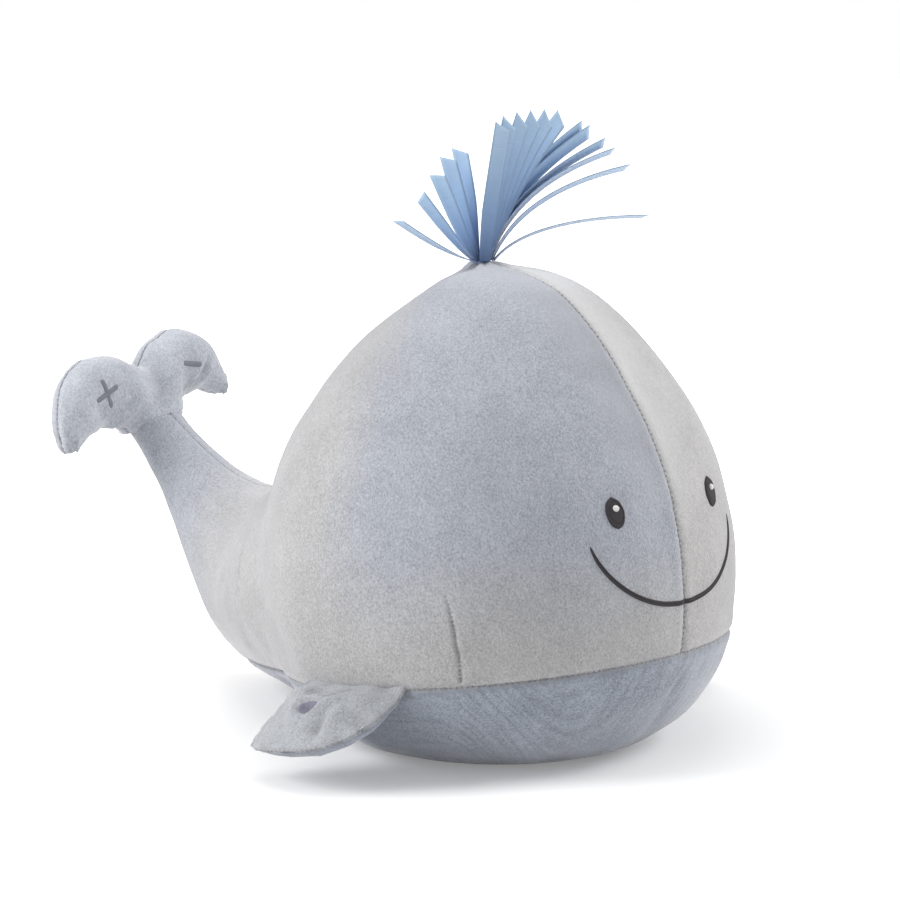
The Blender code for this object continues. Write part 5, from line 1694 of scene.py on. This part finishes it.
@dataclass
class Embroidery:
    """Thread stitched on a surface, seen along the -Y axis of a frame."""

    surface: BVHTree
    frame: Matrix = field(default_factory=lambda: Matrix.Identity(4))
    thickness: float = 0.7 * MM
    sink: float = 0.35 * MM
    far: float = 0.2

    def lay(self, bm: bmesh.types.BMesh) -> None:
        """Lays a flat form on the surface: X and Z give the place, Y the height over it."""
        turn = self.frame.to_3x3()
        ahead = turn @ Vector((0.0, 1.0, 0.0))
        for vert in bm.verts:
            start = self.frame @ Vector((vert.co.x, -self.far, vert.co.z))
            hit, normal, _, _ = self.surface.ray_cast(start, ahead)
            if hit is None:
                place = self.frame @ Vector((vert.co.x, 0.0, vert.co.z))
                hit, normal, _, _ = self.surface.find_nearest(place)
            vert.co = hit + normal * (vert.co.y - self.sink)

    def close(self, bm: bmesh.types.BMesh) -> None:
        """Gives a one-sided patch its underside, at the depth that it is sunk to."""
        normals = bm.verts.layers.float_vector.new("out")
        bm.normal_update()
        for vert in bm.verts:
            vert[normals] = vert.normal
        made = bmesh.ops.extrude_face_region(bm, geom=bm.faces[:], use_keep_orig=True)["geom"]
        for vert in (item for item in made if isinstance(item, bmesh.types.BMVert)):
            vert.co -= vert[normals] * 0.3 * MM

    def bar(self, line: Callable[[float], tuple[float, float]], half: Callable[[float], float], rows: int = 1,
            steps: int = 40) -> bmesh.types.BMesh:
        """A stitched line.

        Args:
            line: Place (X, Z) at a share of its length.
            half: Half its width at a share of its length.
            rows: Rows of stitches side by side.
            steps: Segments along it.

        Returns:
            The form, laid on the surface.
        """
        bm = bmesh.new()
        thread = bm.verts.layers.float_vector.new(THREAD)
        bmesh.ops.create_grid(bm, x_segments=steps, y_segments=6 * rows + 4, size=1.0)
        step = 1e-3
        length = sum(
            math.dist(line(k / steps), line((k + 1) / steps)) for k in range(steps)
        )
        for vert in bm.verts:
            share, across = (vert.co.x + 1) / 2, vert.co.y
            x, z = line(share)
            ahead = Vector(line(min(share + step, 1.0))) - Vector(line(max(share - step, 0.0)))
            ahead.normalize()
            ends = math.sqrt(max(1 - abs(2 * share - 1) ** 8, 0.0))
            wide = half(share) * max(ends, 0.05)
            hump = math.sqrt(max(1 - across**2, 0.0))
            furrow = 1.0 - 0.45 * (1 - abs(math.sin(math.pi * rows * (across + 1) / 2))) if rows > 1 else 1.0
            rise = self.thickness * hump * furrow * ends
            vert.co = Vector((x - ahead.y * wide * across, rise, z + ahead.x * wide * across))
            vert[thread] = Vector((share * length, wide * across, 0.0))
        self.lay(bm)
        self.close(bm)
        return bm

    def oval(self, outline: Callable[[float], tuple[float, float]], rim: bool) -> bmesh.types.BMesh:
        """A filled patch of stitches.

        Args:
            outline: Its edge (X, Z) at an angle; its middle is the middle of the outline's box.
            rim: Whether a row of stitches runs round it.

        Returns:
            The form, laid on the surface.
        """
        bm = bmesh.new()
        rings = 18
        verts = [bm.verts.new((k / rings, 0.0, 0.0)) for k in range(rings + 1)]
        edges = [bm.edges.new(pair) for pair in zip(verts, verts[1:])]
        bmesh.ops.spin(
            bm, geom=verts + edges, cent=(0, 0, 0), axis=(0, 1, 0), angle=math.tau, steps=72, use_merge=True
        )
        bmesh.ops.remove_doubles(bm, verts=bm.verts, dist=1e-4)
        thread = bm.verts.layers.float_vector.new(THREAD)
        low, high = outline(-math.pi / 2), outline(math.pi / 2)
        middle = ((low[0] + high[0]) / 2, (low[1] + high[1]) / 2)
        for vert in bm.verts:
            radius = min(math.hypot(vert.co.x, vert.co.z), 1.0)
            angle = math.atan2(vert.co.z, vert.co.x)
            edge = outline(angle)
            x = middle[0] + (edge[0] - middle[0]) * radius
            z = middle[1] + (edge[1] - middle[1]) * radius
            dome = math.sqrt(max(1 - radius**6, 0.0))
            band = 0.30 * bell(radius - 0.88, 0.07) - 0.30 * bell(radius - 0.74, 0.05) if rim else 0.0
            rise = self.thickness * (dome * (0.85 + band))
            vert.co = Vector((x, rise, z))
            around = angle * 5.0 * MM
            vert[thread] = Vector((around, radius, 0.0)) if rim and radius > 0.78 else Vector((z, x, 0.0))
        self.lay(bm)
        self.close(bm)
        return bm


@dataclass
class Face:
    """Eyes and smile, stitched on the head."""

    eye_width: float = 0.0076
    eye_height: float = 0.0115
    eye_place_height: float = 0.104
    eye_sides: dict = field(default_factory=lambda: {"right": -0.0298, "left": 0.0275})
    eye_shares: tuple = ((0.0, -0.5), (0.30, -0.40), (0.46, -0.15), (0.48, 0.08), (0.34, 0.34), (0.0, 0.5))
    glint_width: float = 0.0020
    glint_height: float = 0.0018
    smile_side: float = 0.042
    smile_corner_height: float = 0.0932
    smile_drop: float = 0.0266
    smile_thickness: float = 0.0023

    def _eye_edge(self, side: float) -> Callable[[float], tuple[float, float]]:
        """Outline of an eye as a function of the angle."""
        half = smooth_line(self.eye_shares, 6)
        angles = np.arctan2(half[:, 1] * self.eye_height, half[:, 0] * self.eye_width)
        radii = np.hypot(half[:, 0] * self.eye_width, half[:, 1] * self.eye_height)
        order = np.argsort(angles)

        def edge(angle: float) -> tuple[float, float]:
            """Place on the outline."""
            fold = math.atan2(math.sin(angle), abs(math.cos(angle)))
            radius = float(np.interp(fold, angles[order], radii[order]))
            return side + radius * math.cos(angle), self.eye_place_height + radius * math.sin(angle)

        return edge

    def _smile(self, share: float) -> tuple[float, float]:
        """Place along the smile."""
        reach = math.sin(math.pi * (min(max(share, 0.0), 1.0) - 0.5))
        drop = self.smile_drop * max(1 - abs(reach) ** 2.2, 0.0) ** 0.63
        return reach * self.smile_side, self.smile_corner_height - drop

    def build(self, surface: BVHTree) -> None:
        """Stitches the face on the body's surface."""
        work = Embroidery(surface, thickness=1.0 * MM)
        for word, side in self.eye_sides.items():
            eye = work.oval(self._eye_edge(side), rim=True)
            add_piece(f"whale_eye_{word}", eye, Finish.DARK_THREAD, "body", (f"eye_{word}",))
            glint = Embroidery(surface, thickness=1.0 * MM, sink=-0.55 * MM)
            middle = (side + 0.2 * MM, self.eye_place_height + 1.5 * MM)
            spot = glint.oval(
                lambda angle: (
                    middle[0] + self.glint_width / 2 * math.cos(angle),
                    middle[1] + self.glint_height / 2 * math.sin(angle),
                ),
                rim=False,
            )
            add_piece(f"whale_eye_{word}_glint", spot, Finish.WHITE_THREAD, "body")

        def half_width(share: float) -> float:
            """Half the width of the smile, which narrows to its ends."""
            middle = math.sin(math.pi * min(max(share, 0.0), 1.0))
            return self.smile_thickness / 2 * (0.6 + 0.4 * math.sqrt(middle))

        smile = work.bar(self._smile, half_width, rows=2, steps=150)
        add_piece("whale_smile", smile, Finish.DARK_THREAD, "body", ("smile",))


@dataclass
class Signs:
    """The stitched marks over the press buttons: plus, minus and note."""

    plus_size: float = 0.0146
    plus_strokes: tuple = ((math.radians(-74), 0.95), (math.radians(16), 1.05))
    minus_size: float = 0.0112
    minus_turn: float = math.radians(-15)
    stroke: float = 0.0029
    plus_place: tuple[float, float] = (-0.03136, 0.01485)
    minus_place: tuple[float, float] = (0.02184, 0.01716)
    note_place: tuple[float, float] = (0.03107, 0.0115)

    def _straight(
        self, x: float, z: float, turn: float, length: float
    ) -> Callable[[float], tuple[float, float]]:
        """A straight line about a middle."""
        ahead = Vector((math.cos(turn), math.sin(turn))) * length

        def line(share: float) -> tuple[float, float]:
            """Place along the line."""
            return x + ahead.x * (share - 0.5), z + ahead.y * (share - 0.5)

        return line

    def build(self, fluke: BVHTree, fluke_frame: Matrix, flipper: BVHTree, flipper_frame: Matrix) -> None:
        """Stitches the signs on the fluke and on the right flipper."""
        work = Embroidery(fluke, fluke_frame, far=0.05)

        def line(place: tuple[float, float], turn: float, length: float) -> bmesh.types.BMesh:
            """One straight stroke of a sign."""
            return work.bar(self._straight(*place, turn, length), lambda share: self.stroke / 2, steps=30)

        plus, other = (
            line(self.plus_place, turn, self.plus_size * share) for turn, share in self.plus_strokes
        )
        keep = bpy.data.meshes.new("stroke")
        other.to_mesh(keep)
        plus.from_mesh(keep)
        bpy.data.meshes.remove(keep)
        other.free()
        add_piece("whale_plus_sign", plus, Finish.GREY_THREAD, "fluke", ("plus_sign",))
        minus = line(self.minus_place, self.minus_turn, self.minus_size)
        add_piece("whale_minus_sign", minus, Finish.GREY_THREAD, "fluke", ("minus_sign",))
        work = Embroidery(flipper, flipper_frame, far=0.03)
        x, z = self.note_place

        def head_edge(angle: float) -> tuple[float, float]:
            """Outline of the note's head, drawn aslant."""
            long, short = math.cos(angle) * 1.05 * MM, math.sin(angle) * 1.0 * MM
            return x + 2.5 * MM + 3.6 * long - 2.1 * short, z + 5.1 * MM + 1.9 * long + 2.2 * short

        head = work.oval(head_edge, rim=False)
        stem = work.bar(
            lambda share: (x - 1.4 * MM - 4.4 * MM * share, z + 3.4 * MM - 8.6 * MM * share),
            lambda share: 0.35 * MM,
            steps=24,
        )
        flag = work.bar(
            lambda share: (x - 5.8 * MM - 4.2 * MM * share, z - 5.2 * MM - 1.8 * MM * share),
            lambda share: 0.5 * MM,
            steps=20,
        )
        for form in (stem, flag):
            keep = bpy.data.meshes.new("stroke")
            form.to_mesh(keep)
            head.from_mesh(keep)
            bpy.data.meshes.remove(keep)
            form.free()
        add_piece("whale_note_sign", head, Finish.NOTE_THREAD, "flipper_right", ("note_sign",))


# Ribbons


@dataclass(frozen=True)
class Strand:
    """One strand of ribbon: where its tip goes, how it leaves the root, and how it twists."""

    reach: float
    climb: float
    lean: float
    steepness: float
    on_edge: bool = False
    root_twist: float = 0.0
    twist: float = 0.3
    curl: float = 0.0
    cut: float = 0.5


@dataclass
class RibbonTuft:
    """The fan of satin strands at the crown."""

    crown: Vector
    width: float = 0.00635
    thickness: float = 0.0003
    pitch: float = 0.001
    root_width: float = 0.0038
    pinch: float = 0.026
    spread: float = 0.059
    height: float = 0.0550
    depth: float = 0.022
    seat: float = 0.0010
    turn: float = math.radians(-48)
    side_step: float = 0.0031
    front_place: float = -0.0021
    rear_place: float = 0.0026
    sway_slope: float = 0.2
    steps: int = 44
    left: tuple = (
        Strand(-0.520, 0.345, -0.75, -0.25, root_twist=-0.62, twist=-0.55, curl=0.5, cut=0.1),
        Strand(-0.370, 0.515, -0.42, -0.12, root_twist=-0.95, twist=-0.50, cut=-0.3),
        Strand(-0.258, 0.658, -0.20, -0.12, root_twist=-0.95, twist=-0.35, cut=0.2),
        Strand(-0.185, 0.762, 0.15, -0.05, root_twist=-0.80, twist=-0.30, cut=0.3),
        Strand(-0.104, 0.803, 0.50, 0.31, root_twist=-0.80, twist=-0.30, cut=0.5),
    )
    middle: tuple = (
        Strand(0.112, 1.025, -0.70, 0.20, root_twist=0.1, twist=0.3, cut=0.5),
        Strand(0.160, 1.045, -0.50, 0.22, root_twist=0.1, twist=0.3, cut=0.6),
        Strand(0.248, 1.055, -0.30, 0.27, root_twist=0.1, twist=0.2, cut=0.6),
        Strand(0.336, 1.055, -0.10, 0.31, root_twist=0.1, twist=0.1, cut=0.6),
        Strand(0.424, 1.050, 0.10, 0.35, root_twist=0.0, twist=0.0, cut=0.6),
        Strand(0.512, 1.040, 0.30, 0.40, root_twist=0.0, twist=-0.1, cut=0.5),
    )
    right: tuple = (
        Strand(0.670, 0.960, 0.64, 0.58, True, root_twist=-0.7, twist=-0.90, cut=0.3),
        Strand(0.703, 0.930, 0.68, 0.60, True, root_twist=-0.6, twist=-0.85, cut=0.3),
        Strand(0.791, 0.850, 0.74, 0.70, True, root_twist=-0.4, twist=-0.60, cut=0.1),
        Strand(0.835, 0.785, 0.80, 0.85, True, root_twist=-0.3, twist=-0.42, cut=0.1),
        Strand(0.918, 0.658, 0.90, 0.95, True, root_twist=-0.3, twist=-0.42, cut=0.1),
        Strand(1.032, 0.296, 1.00, 1.50, True, root_twist=-0.25, twist=-0.30, cut=0.1),
    )

    def _strand(self, start: Vector, tip: Vector, flat: Vector, strand: Strand) -> bmesh.types.BMesh:
        """One strand, shaped from a flat grid along a curved line.

        Args:
            start: Its root.
            tip: Its end.
            flat: The way across it.
            strand: Its shape.

        Returns:
            The form.
        """
        rise = Vector((0.0, 0.0, 1.0))
        bend = start + rise * (tip.z - start.z) * strand.steepness * 0.62 + (tip - start) * 0.22
        length = (bend - start).length + (tip - bend).length
        bm = bmesh.new()
        thread = bm.verts.layers.float_vector.new(THREAD)
        bmesh.ops.create_grid(bm, x_segments=self.steps, y_segments=6, size=1.0)
        for vert in bm.verts:
            across = vert.co.y
            t = (vert.co.x + 1) / 2
            t -= strand.cut * across * (self.width / 2) / length * bell(1 - t, 0.25)
            point = start * (1 - t) ** 2 + bend * 2 * t * (1 - t) + tip * t**2
            ahead = ((bend - start) * (1 - t) + (tip - bend) * t).normalized()
            side = (flat - ahead * flat.dot(ahead)).normalized()
            side.rotate(Matrix.Rotation(strand.root_twist + (strand.twist - strand.root_twist) * t, 3, ahead))
            out = ahead.cross(side)
            climbed = min(max(t, 0.0) * length / self.pinch, 1.0)
            width = self.root_width + (self.width - self.root_width) * climbed
            cup = (1 - across**2) * 0.35 * MM * (1 - 0.5 * t)
            sway = math.sin(t * 5.0 + strand.reach * 9.0) * 0.35 * MM * t
            vert.co = point + side * (width / 2 * across) + out * (cup + sway + strand.curl * t * t * 2 * MM)
            vert[thread] = Vector((t * length, width / 2 * across, t))
        return bm

    def build(self) -> None:
        """Makes the strands."""
        side = Vector((math.cos(self.turn), math.sin(self.turn), 0.0))
        depth = Vector((-math.sin(self.turn), math.cos(self.turn), 0.0))
        groups = (
            (self.left, -self.side_step, self.front_place),
            (self.middle, 0.0, self.front_place),
            (self.right, self.side_step / 2, self.rear_place),
        )
        number = 0
        for strands, sideways, back in groups:
            for i, strand in enumerate(strands):
                number += 1
                step = (i - (len(strands) - 1) / 2) * self.pitch
                root = side * (sideways + (step if strand.on_edge else 0.0))
                root += depth * (back + (0.0 if strand.on_edge else step))
                start = self.crown + root + Vector((0.0, 0.0, self.seat + root.length * self.sway_slope))
                tip = self.crown + root + side * strand.reach * self.spread + depth * strand.lean * self.depth
                tip.z += strand.climb * self.height
                form = self._strand(start, tip, depth if strand.on_edge else side, strand)
                name = f"ribbon_{number:02d}"
                piece = add_piece(
                    f"whale_{name}", form, Finish.RIBBON_SATIN, "ribbon_tuft", (name,), turn=False
                )
                thicken(piece, self.thickness, 0.0)


# Inside and stage


def dress_inside(nodes: dict[str, bpy.types.Object]) -> None:
    """Gives each carried-over CAD piece its finish.

    Args:
        nodes: The CAD pieces by name.
    """
    rules = (
        ("filling", Finish.STUFFING),
        ("lead_", Finish.BLACK_PLASTIC),
        ("power_switch", Finish.BLACK_PLASTIC),
        ("loudspeaker", Finish.BLACK_PLASTIC),
        ("battery_contact", Finish.STEEL),
        ("battery_door", Finish.WHITE_PLASTIC),
        ("battery_", Finish.CELL_WRAP),
        ("case_screw", Finish.STEEL),
        ("circuit_board", Finish.BOARD),
        ("module_pouch", Finish.POUCH),
        ("loop_strip", Finish.POUCH),
        ("hook_strip", Finish.WHITE_PLASTIC),
        ("module_case", Finish.WHITE_PLASTIC),
        ("button_", Finish.WHITE_PLASTIC),
    )
    for name, node in nodes.items():
        for part, finish in rules:
            if part in name:
                for slot in node.material_slots:
                    slot.material = finish.material()
                LOG.info("inner piece %s: %s", name, finish.name.lower())
                break


@dataclass
class Studio:
    """Floor, light and camera."""

    azimuth: float = math.radians(-48.5)
    elevation: float = math.radians(10.3)
    distance: float = 1.4
    aim_right: float = -0.0192
    aim_up: float = 0.112
    lens: float = 140.0
    near_glow: float = 0.22

    def _camera(self) -> None:
        """A camera at the photograph's view."""
        right = Vector((math.cos(self.azimuth), math.sin(self.azimuth), 0.0))
        ahead = Vector(
            (
                -math.sin(self.azimuth) * math.cos(self.elevation),
                math.cos(self.azimuth) * math.cos(self.elevation),
                -math.sin(self.elevation),
            )
        )
        up = right.cross(ahead)
        place = right * self.aim_right + up * self.aim_up - ahead * self.distance
        data = bpy.data.cameras.new("photo_view")
        data.lens = self.lens
        data.sensor_width = 36.0
        data.clip_start = 0.05
        data.clip_end = 20.0
        camera = bpy.data.objects.new("photo_view", data)
        camera.matrix_world = Matrix.Translation(place) @ Matrix((right, up, -ahead)).transposed().to_4x4()
        bpy.context.scene.collection.objects.link(camera)
        bpy.context.scene.camera = camera

    def _lamp(self, name: str, place: Vector, size: float, power: float, colour: RGB) -> None:
        """A soft square lamp that looks at the toy."""
        data = bpy.data.lights.new(name, "AREA")
        data.shape = "SQUARE"
        data.size = size
        data.energy = power
        data.color = colour
        lamp = bpy.data.objects.new(name, data)
        look = (Vector((0.0, 0.03, 0.09)) - place).to_track_quat("-Z", "Y")
        lamp.matrix_world = Matrix.Translation(place) @ look.to_matrix().to_4x4()
        bpy.context.scene.collection.objects.link(lamp)

    def _seen_white(self, shader: Shader) -> Sock:
        """1 where the camera, a mirror or glass looks, and 0 for the light that falls on things."""
        kinds = ("Camera", "Glossy", "Transmission")
        rays = [shader.node("ShaderNodeLightPath", {}, {}, f"Is {kind} Ray") for kind in kinds]
        return (rays[0] + rays[1] + rays[2]).share(0.0, 1.0)

    def build(self) -> None:
        """Sets up the whole stage."""
        scene = bpy.context.scene
        scene.view_settings.view_transform = "Standard"
        world = bpy.data.worlds.new("studio")
        scene.world = world
        world.use_nodes = True
        tree = world.node_tree
        tree.nodes.clear()
        rays = tree.nodes.new("ShaderNodeLightPath")
        sums = []
        for name in ("Is Glossy Ray", "Is Transmission Ray"):
            add = tree.nodes.new("ShaderNodeMath")
            add.operation = "MAXIMUM"
            tree.links.new(sums[-1].outputs[0] if sums else rays.outputs["Is Camera Ray"], add.inputs[0])
            tree.links.new(rays.outputs[name], add.inputs[1])
            sums.append(add)
        dim = tree.nodes.new("ShaderNodeBackground")
        dim.inputs["Color"].default_value = (0.97, 0.98, 1.0, 1.0)
        dim.inputs["Strength"].default_value = 0.42
        white = tree.nodes.new("ShaderNodeBackground")
        white.inputs["Color"].default_value = (1.0, 1.0, 1.0, 1.0)
        mixer = tree.nodes.new("ShaderNodeMixShader")
        output = tree.nodes.new("ShaderNodeOutputWorld")
        tree.links.new(sums[-1].outputs[0], mixer.inputs[0])
        tree.links.new(dim.outputs[0], mixer.inputs[1])
        tree.links.new(white.outputs[0], mixer.inputs[2])
        tree.links.new(mixer.outputs[0], output.inputs["Surface"])

        bm = bmesh.new()
        bmesh.ops.create_grid(bm, x_segments=4, y_segments=4, size=3.0)
        for vert in bm.verts:
            vert.co.z = -0.2 * MM
        mesh = bpy.data.meshes.new("floor")
        bm.to_mesh(mesh)
        bm.free()
        floor = bpy.data.objects.new("floor", mesh)
        scene.collection.objects.link(floor)
        s = Shader("floor_paper")
        paper = s.noise(s.place(), 2 * MM, 2.0, 0.5)
        away = s.node("ShaderNodeVectorMath", {"operation": "LENGTH"}, {0: s.place()}, "Value")
        # Painted light: the floor's glow grows with the distance from the toy, filling in the lamps' shadows
        # away from it and leaving them darker close by.
        glow = self.near_glow + away.share(0.075, 0.34) * (1.0 - self.near_glow)
        material = s.finish(
            Base_Color=s.shade((0.82, 0.82, 0.82), 0.98 + paper * 0.04),
            Roughness=0.9,
            Emission_Color=s.shade((1.0, 1.0, 1.0), self._seen_white(s) * glow),
            Emission_Strength=1.0,
        )
        mesh.materials.append(material)

        self._lamp("left_key", Vector((-1.40, 1.00, 1.15)), 1.0, 27.0, (1.0, 0.99, 0.98))
        self._lamp("right_key", Vector((1.20, -1.00, 1.15)), 1.0, 20.0, (1.0, 0.985, 0.97))
        self._lamp("top", Vector((-0.1, 0.1, 1.9)), 1.2, 8.0, (0.98, 0.99, 1.0))
        self._camera()


def main() -> None:
    """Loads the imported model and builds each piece."""
    logging.basicConfig(level=logging.INFO, format="%(name)s: %(message)s")
    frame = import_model()
    Studio().build()
    nodes = frame["nodes"]
    dress_inside(nodes)
    body_surface = WhaleBody().build([outline_of(nodes["body_filling"]), outline_of(nodes["tail_filling"])])
    Face().build(body_surface)
    fluke_inside = ("fluke_filling", "button_plus_cap", "button_minus_cap")
    fluke_surface = Fluke().build([outline_of(nodes[name]) for name in fluke_inside])
    right = Flipper(side=Side.RIGHT)
    right_inside = ("flipper_right_filling", "button_note_cap")
    right_surface = right.build([outline_of(nodes[name]) for name in right_inside])
    Flipper(side=Side.LEFT).build([outline_of(nodes["flipper_left_filling"])])
    Signs().build(fluke_surface, Fluke.frame(), right_surface, right.frame())
    joints = {joint["name"]: joint for joint in frame["record"]["behaviour"]["joints"]}
    RibbonTuft(crown=Vector(joints["ribbon_tuft_sway"]["pos_m"])).build()


if __name__ == "__main__":
    main()
